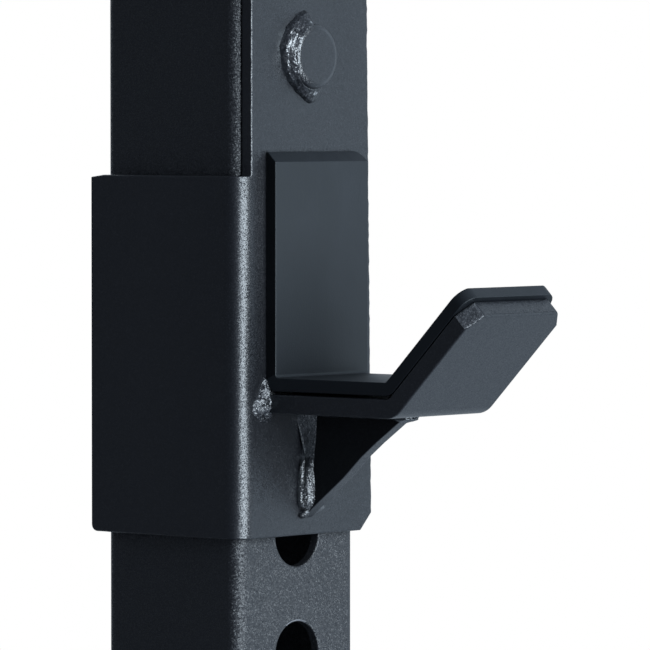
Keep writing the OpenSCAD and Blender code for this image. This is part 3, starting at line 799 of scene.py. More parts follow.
ANCHOR = 62.5
for s, sn in ((-1, "left"), (1, "right")):
    for y, yn in ((0.0, "front"), (REAR, "rear")):
        v, f = plate(round_rect(160, 160, 12), 8.0, 1.0, [(i * ANCHOR, j * ANCHOR, 7.0, 32) for i in (-1, 1) for j in (-1, 1)])
        emit(f"{yn}_{sn}_foot", v, f, frame_paint, "frame", place=side_frame(s, y + TUBE / 2),
             replaces=(f"foot_plate_{yn}_{sn}",), slot="frame_coating")
        # cap: a slightly crowned lid over a ribbed plug
        soup = Soup()
        outl = round_rect(TUBE, TUBE, R_OUT)
        rings = []
        for off, z in ((0.6, 0.0), (0.12, 0.25), (0.0, 0.7), (0.0, 1.7), (0.5, 2.4), (1.5, 2.75), (3.0, 2.9), (10.0, 2.96), (22.0, 3.0)):
            rings.append([(x, y_, z) for x, y_ in offset(outl, off)])
        vv, ff = sweep_rings(rings, False)
        vv, ff = orient(vv, ff)
        soup.add(vv, ff, place=lambda p: p + np.array([0, 0, UP1]))
        inner = TUBE - 2 * WALL - 0.5
        n_in = 6
        oo, ii = round_rect(inner, inner, R_IN - 0.25, n_in), round_rect(inner - 5, inner - 5, 1.0, n_in)
        vv, ff = [], []
        for ring, z in ((oo, 0.0), (oo, -13.0), (offset(oo, 0.8), -14.0), (ii, -14.0), (ii, 0.0)):
            vv += [(x, y_, z) for x, y_ in ring]
        m = len(oo)
        for a in range(5):
            b = (a + 1) % 5
            for i in range(m):
                j = (i + 1) % m
                ff.append((a * m + i, a * m + j, b * m + j, b * m + i))
        vv, ff = orient(vv, ff)
        soup.add(vv, ff, place=lambda p: p + np.array([0, 0, UP1]))
        soup.emit(f"{yn}_{sn}_cap", cap_mat, "frame", place=side_frame(s, y + TUBE / 2),
                  replaces=(f"top_cap_{yn}_{sn}",), slot="cap_plastic")


def rail_along_y(v):
    """Lays a tube drawn along Z down along Y."""
    return np.stack([v[:, 0], v[:, 2], -v[:, 1]], 1)


def rail_along_x(v):
    return np.stack([v[:, 2], v[:, 0], v[:, 1]], 1)


PL = 6.0
BR_HOLES = [HOLE0, HOLE0 + PITCH]
TR_HOLES = [HOLE_LAST - PITCH, HOLE_LAST]
for s, sn in ((-1, "left"), (1, "right")):
    for nm, zc, z0, z1, holes in (("base", 10 + TUBE / 2, 10.0, HOLE0 + PITCH + 30, BR_HOLES),
                                  ("top", UP1 - TUBE / 2, TR_HOLES[0] - 30, UP1, TR_HOLES)):
        v, f = tube_mesh(0.0, BAY - 2 * PL)
        emit(f"{nm}_{sn}_rail", rail_along_y(v), f, frame_paint, "frame", place=side_frame(s, TUBE + PL, zc),
             replaces=(f"{nm}_rail_{sn}",), slot="frame_coating")
        soup = Soup()
        for yy in (TUBE, REAR - PL):
            v, f = plate(round_rect(TUBE, z1 - z0, 6, cy=(z0 + z1) / 2), PL, 0.8, [(0, z, 13.25, 40) for z in holes])
            soup.add(plate_y(v), [g[::-1] for g in f], place=lambda p, a=yy: p + np.array([0, a, 0]))
        soup.emit(f"{nm}_{sn}_rail_plates", frame_paint, "frame", place=side_frame(s),
                  replaces=(f"{nm}_rail_{sn}_end_plates",), slot="frame_coating")

INNER = 2 * CX - TUBE - 2 * PL
for nm, zc, z0, z1, holes in (("base", 10 + TUBE / 2, 10.0, base_side[1] + 30, base_side),
                              ("top", UP1 - TUBE / 2, top_side[0] - 30, UP1, top_side)):
    v, f = tube_mesh(0.0, INNER)
    emit(f"{nm}_rear_beam", rail_along_x(v), f, frame_paint, "frame",
         place=lambda p, z=zc: p + np.array([-INNER / 2, FRONT_Y + REAR + TUBE / 2, z]),
         replaces=(f"{nm}_cross_member",), slot="frame_coating")
    soup = Soup()
    for s in (-1, 1):
        v, f = plate(round_rect(TUBE, z1 - z0, 6, cy=(z0 + z1) / 2), PL, 0.8, [(0, z, 8.75, 32) for z in holes])
        soup.add(plate_x(v), f, place=lambda p, a=s: p + np.array([a * (CX - TUBE / 2 - PL / 2) - PL / 2, FRONT_Y + REAR + TUBE / 2, 0]))
    soup.emit(f"{nm}_rear_beam_plates", frame_paint, "frame", replaces=(f"{nm}_cross_member_end_plates",), slot="frame_coating")

# pull-up bar
PULL_Z, PULL_R = 2226.0, 16.0
L = INNER
prof = [(PULL_R - 3, 0.0), (PULL_R, 0.0)] + [(PULL_R, L * k / 40) for k in range(1, 40)] + [(PULL_R, L), (PULL_R - 3, L)]
v, f = lathe(prof, 64)
v, f = orient(v, f)
emit("chin_bar", rail_along_x(v), f, frame_paint, "frame",
     place=lambda p: p + np.array([-L / 2, FRONT_Y + TUBE / 2, PULL_Z]), replaces=("pull_up_bar",), slot="frame_coating")
soup = Soup()
for s in (-1, 1):
    z0, z1 = top_side[0] - 30, UP1
    v, f = plate(round_rect(TUBE, z1 - z0, 6, cy=(z0 + z1) / 2), PL, 0.8, [(0, z, 8.75, 32) for z in top_side])
    soup.add(plate_x(v), f, place=lambda p, a=s: p + np.array([a * (CX - TUBE / 2 - PL / 2) - PL / 2, FRONT_Y + TUBE / 2, 0]))
soup.emit("chin_bar_plates", frame_paint, "frame", replaces=("pull_up_bar_end_plates",), slot="frame_coating")


# ------------------------------------------------------------------ frame welds
def tube_loop(step=1.6):
    """Points round the outside of a square tube, with outward directions."""
    pts = round_rect(TUBE, TUBE, R_OUT, 8)
    out, dirs = [], []
    m = len(pts)
    for i in range(m):
        a, b = np.array(pts[i]), np.array(pts[(i + 1) % m])
        k = max(1, int(round(np.linalg.norm(b - a) / step)))
        for j in range(k):
            out.append(a + (b - a) * j / k)
    out = np.array(out)
    e = np.roll(out, -1, 0) - np.roll(out, 1, 0)
    e /= np.linalg.norm(e, axis=1)[:, None]
    dirs = np.stack([e[:, 1], -e[:, 0]], 1)
    return out, dirs


loop_p, loop_d = tube_loop()


def add_tube_weld(soup, origin, axis, sgn, seed, keep=None, leg=5.5):
    """Weld round the end of a square tube. axis is the tube's direction away from the plate."""
    p3, d3, a3 = [], [], []
    for (u, w), (du, dw) in zip(loop_p, loop_d):
        if axis == "y":
            p3.append((u, 0, w)); d3.append((du, 0, dw)); a3.append((0, sgn, 0))
        elif axis == "x":
            p3.append((0, u, w)); d3.append((0, du, dw)); a3.append((sgn, 0, 0))
        else:
            p3.append((u, w, 0)); d3.append((du, dw, 0)); a3.append((0, 0, sgn))
    p3, d3, a3 = map(np.array, (p3, d3, a3))
    if keep is None:
        v, f = bead(p3 + np.array(origin), d3, a3, leg, leg, closed=True, seed=seed, pitch=len(p3) and 2.9)
    else:
        k = [i for i in range(len(p3)) if keep(p3[i])]
        # start the run at the gap
        cut = next((j for j in range(len(k) - 1) if k[j + 1] - k[j] > 1), None)
        if cut is not None:
            k = k[cut + 1:] + k[:cut + 1]
        v, f = bead(p3[k] + np.array(origin), d3[k], a3[k], leg, leg, closed=False, seed=seed, pitch=2.9)
    soup.add(v, f)


# rails: the weld lies on the bay side of each end plate; an end plate is as wide
# as the tube, so it runs only above or below it and not down the sides
for s, sn in ((-1, "left"), (1, "right")):
    soup = Soup()
    for zc, up in ((10 + TUBE / 2, 1), (UP1 - TUBE / 2, -1)):
        for yy, sg in ((TUBE + PL, 1), (REAR - PL, -1)):
            add_tube_weld(soup, (s * CX, FRONT_Y + yy, zc), "y", sg, 1.0 + s + yy * 0.01,
                          keep=lambda p, u=up: u * p[2] > TUBE / 2 - 0.6, leg=6.0)
    soup.emit(f"rail_welds_{sn}", weld_coat, "frame", sharp=60)
soup = Soup()
for zc, up in ((10 + TUBE / 2, 1), (UP1 - TUBE / 2, -1)):
    for s in (-1, 1):
        add_tube_weld(soup, (s * (CX - TUBE / 2 - PL), FRONT_Y + REAR + TUBE / 2, zc), "x", -s, 5.0 + s + zc * 0.01,
                      keep=lambda p, u=up: u * p[2] > TUBE / 2 - 0.6, leg=6.0)
soup.emit("beam_welds", weld_coat, "frame", sharp=60)
# pull-up bar
soup = Soup()
for s in (-1, 1):
    n = 96
    th = [2 * PI * i / n for i in range(n)]
    c = np.array([s * (CX - TUBE / 2 - PL), FRONT_Y + TUBE / 2, PULL_Z])
    p = np.array([[0, PULL_R * math.cos(a), PULL_R * math.sin(a)] for a in th]) + c
    d = np.array([[0, math.cos(a), math.sin(a)] for a in th])
    a_ = np.array([[-s, 0, 0]] * n)
    v, f = bead(p, d, a_, 5, 5, closed=True, seed=8 + s, pitch=2.09)
    soup.add(v, f)
soup.emit("chin_bar_welds", weld_coat, "frame", sharp=60)
# uprights to foot plates: on the faces that no end plate covers
for s, sn in ((-1, "left"), (1, "right")):
    soup = Soup()
    for y, keep in ((0.0, lambda p: p[1] < TUBE / 2 - R_OUT - 1),
                    (REAR, lambda p, s_=s: p[1] > -TUBE / 2 + R_OUT + 1 and s_ * p[0] > -TUBE / 2 + R_OUT + 1)):
        add_tube_weld(soup, (s * CX, FRONT_Y + y + TUBE / 2, UP0), "z", 1, 11.0 + s + y * 0.01, keep=keep, leg=6.0)
    soup.emit(f"foot_welds_{sn}", weld_coat, "frame", sharp=60)


# ------------------------------------------------------------------ fasteners
def hex_ring(r_af, seg_per=8):
    """Radius of a hexagon, by angle, with slightly broken corners."""
    out = []
    n = 6 * seg_per
    for i in range(n):
        a = 2 * PI * i / n
        b = (a % (PI / 3)) - PI / 6
        r = r_af / math.cos(b)
        out.append((a, min(r, r_af / math.cos(PI / 6) * 0.988)))
    return out


def hex_solid(af, h, bore=0.0, chamfer_top=True, chamfer_bottom=False, collar=0.0):
    """Hexagon head or nut from z = 0 to h, its corners turned off by a cone."""
    r_af = af / 2
    ring = hex_ring(r_af)
    n = len(ring)
    rings = []

    def level(z, limit):
        rings.append([(min(r, limit) * math.cos(a), min(r, limit) * math.sin(a), z) for a, r in ring])

    rc = r_af / math.cos(PI / 6)
    if bore:
        rings.append([(bore * math.cos(a), bore * math.sin(a), 0.8) for a, _ in ring])
        rings.append([((bore + 0.8) * math.cos(a), (bore + 0.8) * math.sin(a), 0.0) for a, _ in ring])
    if chamfer_bottom:
        level(0.0, r_af - 0.3)
        for k in range(1, 7):
            level((rc - r_af) * 0.577 * k / 6 + 0.15, r_af + (rc - r_af) * k / 6)
    else:
        level(0.0, rc)
        level(0.3, rc)
    top0 = h - (rc - r_af) * 0.577 - 0.15
    level(top0, rc)
    if chamfer_top:
        for k in range(5, -1, -1):
            level(h - (rc - r_af) * 0.577 * k / 6 - 0.15, r_af + (rc - r_af) * k / 6)
        level(h, r_af - 0.35)
    if bore:
        rings.append([((bore + 0.8) * math.cos(a), (bore + 0.8) * math.sin(a), h) for a, _ in ring])
        rings.append([(bore * math.cos(a), bore * math.sin(a), h - 0.8) for a, _ in ring])
        v, f = sweep_rings(rings, True)
    else:
        # a shallow dished top
        rings.append([((r_af - 3) * math.cos(a), (r_af - 3) * math.sin(a), h - 0.05) for a, _ in ring])
        rings.append([((r_af - 4) * math.cos(a), (r_af - 4) * math.sin(a), h - 0.45) for a, _ in ring])
        v, f = sweep_rings(rings, False)
    return orient(v, f)


def thread_solid(d, pitch, z0, z1, smooth_from, seg=36, per=8):
    """Bolt shank from z0 to z1; from smooth_from on it carries a thread."""
    depth = pitch * 0.5
    zs = [z0, z0 + 1.0, smooth_from - 1.0]
    k = int((z1 - smooth_from) / pitch * per)
    zs += [smooth_from + (z1 - smooth_from) * i / k for i in range(k + 1)]
    rings = []
    for z in zs:
        ring = []
        for i in range(seg):
            a = 2 * PI * i / seg
            r = d / 2
            if z >= smooth_from:
                ph = ((z - smooth_from) / pitch - a / (2 * PI)) % 1.0
                tri = abs(2 * ph - 1)
                r -= depth * max(0.0, min(1.0, tri * 1.25 - 0.12)) * min(1.0, (z - smooth_from) / pitch + 0.1)
                r = min(r, d / 2 - max(0.0, z - (z1 - 2.0)) * 0.9)
            ring.append((r * math.cos(a), r * math.sin(a), z))
        rings.append(ring)
    rings.append([(p[0] * 0.6, p[1] * 0.6, z1) for p in rings[-1]])
    v, f = sweep_rings(rings, False)
    return orient(v, f)


def washer_solid(r_in, r_out, t):
    prof = rounded_profile([(r_in, 0.35), (r_in + 0.35, 0), (r_out - 0.4, 0), (r_out, 0.4), (r_out, t - 0.6), (r_out - 0.6, t), (r_in + 0.35, t), (r_in, t - 0.35), (r_in, 0.35)], 0.3, 2)
    v, f = lathe(prof[:-1], 48)
    return orient(v, f)


def rail_spots(holes):
    out = []
    for s in (-1, 1):
        for z in holes:
            for (y, sg) in ((0.0, 1), (BACK, -1)):
                out.append((s, z, y, sg))
    return out


def along_y(origin, sg, spin=0.0):
    """Maps a fastener's +Z to sg * Y."""
    c, sn_ = math.cos(spin), math.sin(spin)

    def f(p):
        x = p[:, 0] * c - p[:, 1] * sn_
        y = p[:, 0] * sn_ + p[:, 1] * c
        return np.stack([x * sg, p[:, 2] * sg, y], 1) + np.array(origin)
    return f


def along_x(origin, sg, spin=0.0):
    c, sn_ = math.cos(spin), math.sin(spin)

    def f(p):
        x = p[:, 0] * c - p[:, 1] * sn_
        y = p[:, 0] * sn_ + p[:, 1] * c
        return np.stack([p[:, 2] * sg, y * sg, x], 1) + np.array(origin)
    return f


GRIP_L = TUBE + PL
spins = np.random.default_rng(7)
for nm, holes in (("base_rail", BR_HOLES), ("top_rail", TR_HOLES)):
    b, w, n_ = Soup(), Soup(), Soup()
    for (s, z, y, sg) in rail_spots(holes):
        o = (s * CX, FRONT_Y + y, z)
        sp = float(spins.uniform(0, PI / 3))
        v, f = hex_solid(36, 15)
        b.add(v * np.array([1, 1, -1]), [g[::-1] for g in f], place=lambda p, o=o, sg=sg, sp=sp: along_y(o, sg, sp)(p + np.array([0, 0, -4])))
        v, f = thread_solid(24, 3.0, -4.2, GRIP_L + 4 + 26, GRIP_L + 4 + 14)
        b.add(v, f, place=lambda p, o=o, sg=sg: along_y(o, sg)(p))
        for zz in (-4, GRIP_L):
            v, f = washer_solid(12.5, 22, 4)
            w.add(v, f, place=lambda p, o=o, sg=sg, zz=zz: along_y(o, sg)(p + np.array([0, 0, zz])))
        sp = float(spins.uniform(0, PI / 3))
        v, f = hex_solid(36, 22, bore=12.05, chamfer_bottom=True)
        n_.add(v, f, place=lambda p, o=o, sg=sg, sp=sp: along_y(o, sg, sp)(p + np.array([0, 0, GRIP_L + 4])))
    b.emit(f"{nm}_hex_bolts", bolt_mat, "frame", replaces=(f"{nm}_bolts",), slot="fastener_steel", sharp=28)
    w.emit(f"{nm}_flat_washers", bolt_mat, "frame", replaces=(f"{nm}_washers",), slot="fastener_steel", sharp=50)
    n_.emit(f"{nm}_hex_nuts", bolt_mat, "frame", replaces=(f"{nm}_nuts",), slot="fastener_steel", sharp=28)

for nm, rows in (("cross_member", [(REAR, base_side), (REAR, top_side)]), ("pull_up_bar", [(0.0, top_side)])):
    b, w, n_ = Soup(), Soup(), Soup()
    for y, holes in rows:
        for s in (-1, 1):
            for z in holes:
                o = (s * (CX + TUBE / 2), FRONT_Y + y + TUBE / 2, z)
                sp = float(spins.uniform(0, PI / 3))
                v, f = hex_solid(24, 10)
                b.add(v * np.array([1, 1, -1]), [g[::-1] for g in f], place=lambda p, o=o, sg=-s, sp=sp: along_x(o, sg, sp)(p + np.array([0, 0, -3])))
                v, f = thread_solid(16, 2.0, -3.2, GRIP_L + 3 + 19, GRIP_L + 3 + 10)
                b.add(v, f, place=lambda p, o=o, sg=-s: along_x(o, sg)(p))
                for zz in (-3, GRIP_L):
                    v, f = washer_solid(8.5, 15, 3)
                    w.add(v, f, place=lambda p, o=o, sg=-s, zz=zz: along_x(o, sg)(p + np.array([0, 0, zz])))
                sp = float(spins.uniform(0, PI / 3))
                v, f = hex_solid(24, 15, bore=8.05, chamfer_bottom=True)
                n_.add(v, f, place=lambda p, o=o, sg=-s, sp=sp: along_x(o, sg, sp)(p + np.array([0, 0, GRIP_L + 3])))
    b.emit(f"{nm}_hex_bolts", bolt_mat, "frame", replaces=(f"{nm}_bolts",), slot="fastener_steel", sharp=28)
    w.emit(f"{nm}_flat_washers", bolt_mat, "frame", replaces=(f"{nm}_washers",), slot="fastener_steel", sharp=50)
    n_.emit(f"{nm}_hex_nuts", bolt_mat, "frame", replaces=(f"{nm}_nuts",), slot="fastener_steel", sharp=28)


# ------------------------------------------------------------------ hook: bracket
BT, GAP = 5.0, 0.5
FACE = -(BT + GAP)
BX0, BX1, BX2 = -43.0, 41.4, 38.3
BEND_D = 10.0                           # how far the bend reaches along each leg


def bend_curve(n=720):
    """The bend's outer face: curvature that eases in and out, as a press brake leaves it."""
    t = (np.arange(n) + 0.5) / n
    k = np.clip(np.minimum(t, 1 - t) / 0.30, 0, 1)
    k = k * k * (3 - 2 * k)
    phi = np.concatenate([[0], np.cumsum(k)])
    phi *= (PI / 2) / phi[-1]
    mid = (phi[1:] + phi[:-1]) / 2
    x = np.concatenate([[0], np.cumsum(np.cos(mid))]) / n
    y = np.concatenate([[0], np.cumsum(np.sin(mid))]) / n
    length = BEND_D / x[-1]
    return np.linspace(0, 1, n + 1) * length, phi, x * length, y * length * (x[-1] / y[-1])


BC_S, BC_PHI, BC_X, BC_Y = bend_curve()
BEND_L = float(BC_S[-1])
U_FLAT = BX0 + BEND_D                   # flat plate begins here
U_FLANGE = U_FLAT - BEND_L              # flange begins here
U_END = U_FLANGE - (83.4 - BEND_D)


def bend_sheet(v):
    """Sheet drawn flat (u across, v up, depth w) to the bent bracket."""
    u, z, w = v[:, 0], v[:, 1], v[:, 2]
    out = np.zeros_like(v)
    t = np.clip(U_FLAT - u, 0, BEND_L)
    phi = np.interp(t, BC_S, BC_PHI)
    ex = np.maximum(U_FLANGE - u, 0)
    fwd = np.maximum(u - U_FLAT, 0)
    out[:, 0] = U_FLAT + fwd - np.interp(t, BC_S, BC_X) + w * np.sin(phi)
    out[:, 1] = FACE + np.interp(t, BC_S, BC_Y) + w * np.cos(phi) + ex
    out[:, 2] = z
    return out


def jitter(pts, radii, spans, seed):
    """Breaks the straight cut edges of an outline into slightly uneven runs."""
    out, rad = [], []
    rng = np.random.default_rng(seed)
    m = len(pts)
    for i in range(m):
        out.append(pts[i]); rad.append(radii[i])
        amp, step = spans[i]
        if amp <= 0:
            continue
        a, b = np.array(pts[i], float), np.array(pts[(i + 1) % m], float)
        d = np.linalg.norm(b - a)
        k = int(d / step)
        nrm = np.array([-(b - a)[1], (b - a)[0]]) / d
        for j in range(1, k):
            q = a + (b - a) * j / k + nrm * float(rng.normal(0, amp))
            out.append(tuple(q)); rad.append(0.0)
    return out, rad


BE = -35.1
pts = [(U_END, 0), (BX1 - 7, 0), (BX1, 7.2), (BX2, 240 - 7.2), (BX2 - 7, 240), (BE + 8, 240), (BE, 232),
       (BE, 150.0), (U_END + 7, 150), (U_END, 149.1)]
rad = [3, 1.2, 1.2, 1.2, 1.2, 1.2, 1.2, 2.5, 3, 0.4]
spans = [(0.0, 6)] * len(pts)
spans[2] = (0.11, 2.2)
spans[6] = (0.07, 1.7)
spans[0] = (0.03, 7.0)
pts, rad = jitter(pts, rad, spans, 3)
outl = round_poly(pts, rad, 6)
v, f = plate(outl, BT + 0.15, 0.75, [(0, 199.4, 12.5, 64)], e_top=0.2)
planes = [((U_FLAT - BEND_L * k / 24, 0, 0), (1, 0, 0)) for k in range(25)]
v, f = cut_through(v, f, planes)
bracket_v, bracket_f = bend_sheet(v), f
bracket_v, bracket_f = orient(bracket_v, bracket_f)


# ------------------------------------------------------------------ hook: saddle
SX0, SX1 = -26.0, 33.2
SAD_T, SAD_UP, LIP = 8.0, 51.75, 56.0
SEAT = SAD_UP + SAD_T
RI = 3.0
BY = -71.75 + RI * (math.sqrt(2) - 1)
BZ = SEAT + RI


def profile_to_3d(v, x0):
    """Plate drawn in (forward, up) with its thickness along X."""
    return np.stack([x0 + v[:, 2], -v[:, 0], v[:, 1]], 1)


def along_lip(v, cy, cz):
    """Distance up the lip from the bend's centre."""
    return (-(v[:, 1] - cy) + (v[:, 2] - cz)) * math.sqrt(0.5)


def bent_outline(cu, cv, ri, t, u0, lip, n=10, tail=()):
    pts = arc(cu, cv, ri + t, -90, -45, n)
    c, s_ = math.cos(math.radians(-45)), math.sin(math.radians(-45))
    d = math.sqrt(0.5)
    end_o = (cu + (ri + t) * c + lip * d, cv + (ri + t) * s_ + lip * d)
    end_i = (cu + ri * c + lip * d, cv + ri * s_ + lip * d)
    return [(u0, cv - ri - t)] + pts + [end_o, end_i] + arc(cu, cv, ri, -45, -90, n) + list(tail)


def rounded_at(pts, spots, r, n=4):
    """Rounds the outline's corners nearest to the given spots."""
    rr = [0.0] * len(pts)
    for sp, rad_ in zip(spots, r):
        k = min(range(len(pts)), key=lambda i: (pts[i][0] - sp[0]) ** 2 + (pts[i][1] - sp[1]) ** 2)
        rr[k] = rad_
    return round_poly(pts, rr, n)


op = bent_outline(-BY, BZ, RI, SAD_T, -FACE, LIP, tail=[(-FACE, SEAT)])
d = math.sqrt(0.5)
oc = (-BY + (RI + SAD_T) * d + LIP * d, BZ - (RI + SAD_T) * d + LIP * d)
ic = (-BY + RI * d + LIP * d, BZ - RI * d + LIP * d)
op = rounded_at(op, [oc, ic], [1.2, 0.6], 4)
v, f = plate(op, SX1 - SX0, 0.95, n=4)
v = profile_to_3d(v, SX0)
CUT_S, CUT_X = 7.8, 6.0
lipdir = (0, -d, d)
cpt = np.array([0, BY, BZ])
planes = [(tuple(cpt + np.array(lipdir) * (LIP - CUT_S + 0.001 + k * 1.3)), lipdir) for k in range(7) if k * 1.3 < CUT_S]
v, f = cut_through(v, f, planes)
sl = along_lip(v, BY, BZ)
kk = np.clip((sl - (LIP - CUT_S)) / CUT_S, 0, 1)
left = SX0 + CUT_X * kk
right = SX1 - CUT_X * kk
v[:, 0] = left + (v[:, 0] - SX0) / (SX1 - SX0) * (right - left)
saddle_v, saddle_f = orient(v, f)
fm = []
for g in saddle_f:
    c = saddle_v[list(g)].mean(0)
    s_c = along_lip(c[None], BY, BZ)[0]
    pv = saddle_v[list(g)]
    nrm = np.cross(pv[1] - pv[0], pv[2] - pv[0])
    nrm = nrm / (np.linalg.norm(nrm) + 1e-12)
    kx = CUT_X * max(0.0, (s_c - (LIP - CUT_S)) / CUT_S)
    end_face = s_c > LIP - 0.05
    # chamfered cut faces take the torch-cut coat; painted shade: the lip's end face takes the less glossy copy of the
    # hook paint
    fm.append(1 if (s_c > LIP - CUT_S + 0.05 and abs(nrm[0]) > 0.55) else 2 if end_face else 0)
saddle_m = fm


# ------------------------------------------------------------------ hook: liner
LT = 5.5
LTOP = SEAT + 1.25 + LT
LRI = 1.5
LCU, LCV = 71.75 - 1.35 - LRI * (math.sqrt(2) - 1), LTOP + LRI
LIPL = LIP - 1.0
PAD = 5.4
V0 = SEAT + 1.25
PADH = 98.8
LX0, LX1 = -26.0, 32.6
pad_top = V0 + PADH
op = bent_outline(LCU, LCV, LRI, LT, -FACE, LIPL,
                  tail=[(-FACE + PAD, LTOP), (-FACE + PAD, pad_top - 4.1), (-FACE + PAD - 4.1, pad_top), (-FACE, pad_top)])
oc = (LCU + (LRI + LT) * d + LIPL * d, LCV - (LRI + LT) * d + LIPL * d)
ic = (LCU + LRI * d + LIPL * d, LCV - LRI * d + LIPL * d)
op = rounded_at(op, [oc, ic, (-FACE, LCV - LRI - LT), (-FACE + PAD, LTOP), (-FACE + PAD, pad_top - 4.1), (-FACE + PAD - 4.1, pad_top)],
                [0.4, 0.6, 5.0, 1.5, 0.5, 0.5], 6)
v, f = plate(op, LX1 - LX0, 0.5)
v = profile_to_3d(v, LX0)
lc = np.array([0, -LCU, LCV])
RR = 7.0
planes = [(tuple(lc + np.array(lipdir) * (LIPL - RR + RR * math.sin(math.radians(a)))), lipdir) for a in (0, 15, 30, 45, 57, 68, 77, 84)]
planes += [((0, 0, pad_top - 4.0 + 4.0 * math.sin(math.radians(a))), (0, 0, 1)) for a in (0, 20, 40, 58, 72, 83)]
v, f = cut_through(v, f, planes)
sl = along_lip(v, -LCU, LCV)
q = np.clip(sl - (LIPL - RR), 0, RR)
on_lip = (v[:, 1] < -30)
cut = np.where(on_lip, RR - np.sqrt(np.maximum(RR * RR - q * q, 0.0)), 0.0)
q2 = np.clip(v[:, 2] - (pad_top - 4.0), 0, 4.0)
cut2 = np.where(v[:, 1] > -20, 4.0 - np.sqrt(np.maximum(16.0 - q2 * q2, 0.0)), 0.0)
left = LX0 + cut
right = LX1 - np.maximum(cut, cut2)
v[:, 0] = left + (v[:, 0] - LX0) / (LX1 - LX0) * (right - left)
liner_v, liner_f = orient(v, f)
# painted shade: the pad's upright side face takes one darker copy of the liner plastic, the top bevel another
liner_shade_mask = []
for g in liner_f:
    pv = liner_v[list(g)]
    nrm = np.cross(pv[1] - pv[0], pv[2] - pv[0])
    side = abs(nrm[0]) > 0.9 * (np.linalg.norm(nrm) + 1e-12)
    bevel = pv[:, 2].mean() > pad_top - 4.2 and abs(nrm[2]) > 0.5 * (np.linalg.norm(nrm) + 1e-12)
    liner_shade_mask.append(1 if side and pv[:, 1].mean() > -14.0 and pv[:, 2].mean() > LTOP + 6.0 else 2 if bevel else 0)

# ------------------------------------------------------------------ hook: gusset, pin
op = round_poly([(-FACE, 7.2), (-FACE + 2, 8.8), (27.8, 24.7), (37.5, 33.6), (45.3, 39.7), (60.5, SAD_UP - 1.2), (60.5, SAD_UP), (-FACE, SAD_UP)],
                [0, 0.8, 3.0, 4.0, 4.0, 0.6, 0, 0], 4)
v, f = plate(op, 6.0, 0.5)
gusset_v, gusset_f = orient(profile_to_3d(v, -3.0), f)
# painted shade: the gusset's flat side faces take the darker copy of the hook paint
gusset_shade_mask = []
for g in gusset_f:
    pv = gusset_v[list(g)]
    nrm = np.cross(pv[1] - pv[0], pv[2] - pv[0])
    gusset_shade_mask.append(1 if abs(nrm[0]) > 0.9 * (np.linalg.norm(nrm) + 1e-12) else 0)

PR, PROUD, PHEAD = 12.3, 6.0, 13.6
z1 = TUBE + 5 - FACE + PROUD
prof = rounded_profile([(0, 0), (PHEAD - 2.2, 0.0), (PHEAD - 0.5, 1.0), (PHEAD, 2.2), (PHEAD, PROUD - 0.3), (PR, PROUD + 0.3), (PR, z1 - 2), (PR - 2, z1), (0, z1)], 0.9, 3)
v, f = lathe(prof, 72)
v, f = orient(v, f)
pin_v = np.stack([v[:, 0], v[:, 2] + FACE - PROUD, v[:, 1]], 1) + np.array([0, 0, 199.4])
pin_v, pin_f = orient(pin_v, f)


# ------------------------------------------------------------------ hook: welds
def height_patch(nu, nv, point, base_point):
    """Closed solid under a patch: top(i, j) above, base(i, j) on the carrying face."""
    top = [[point(i / (nu - 1), j / (nv - 1)) for j in range(nv)] for i in range(nu)]
    rim = [(i, 0) for i in range(nu)] + [(nu - 1, j) for j in range(1, nv)] + [(i, nv - 1) for i in range(nu - 2, -1, -1)] + [(0, j) for j in range(nv - 2, 0, -1)]
    verts = [top[i][j] for i in range(nu) for j in range(nv)]
    faces = [(i * nv + j, (i + 1) * nv + j, (i + 1) * nv + j + 1, i * nv + j + 1) for i in range(nu - 1) for j in range(nv - 1)]
    k0 = len(verts)
    verts += [base_point(i / (nu - 1), j / (nv - 1)) for i, j in rim]
    c = len(verts)
    verts.append(tuple(np.mean(np.array(verts[k0:]), 0)))
    m = len(rim)
    for a in range(m):
        b = (a + 1) % m
        ia, ib = rim[a][0] * nv + rim[a][1], rim[b][0] * nv + rim[b][1]
        faces.append((ia, ib, k0 + b, k0 + a))
        faces.append((k0 + a, k0 + b, c))
    return orient(verts, faces)


def interp(x, xs, ys):
    return float(np.interp(x, xs, ys))


def smooth01(x):
    x = max(0.0, min(1.0, x))
    return x * x * (3 - 2 * x)


# (a) crescent round the pin, on the side of the flange. The angle grows from the
# right over the top to the left and on to the bottom
PZ = 199.4
ring_a = [76, 86, 95, 106, 120, 148, 162, 180, 200, 214, 232, 254, 273, 283, 300, 318]
ring_r = [14.6, 17.6, 19.4, 18.7, 18.1, 17.9, 17.9, 16.9, 16.3, 16.0, 15.9, 17.2, 19.6, 19.4, 17.4, 14.4]
ring_i = [13.4, 13.2, 13.0, 12.6, 12.2, 11.9, 11.8, 11.8, 12.4, 13.3, 13.4, 13.4, 13.4, 13.4, 13.4, 13.4]  # inner edge
ring_h = [0.6, 2.6, 4.6, 5.7, 6.1, 6.25, 6.3, 6.3, 6.2, 5.3, 4.2, 3.8, 3.5, 2.9, 1.4, 0.2]                # height there
A0, A1 = 76, 318


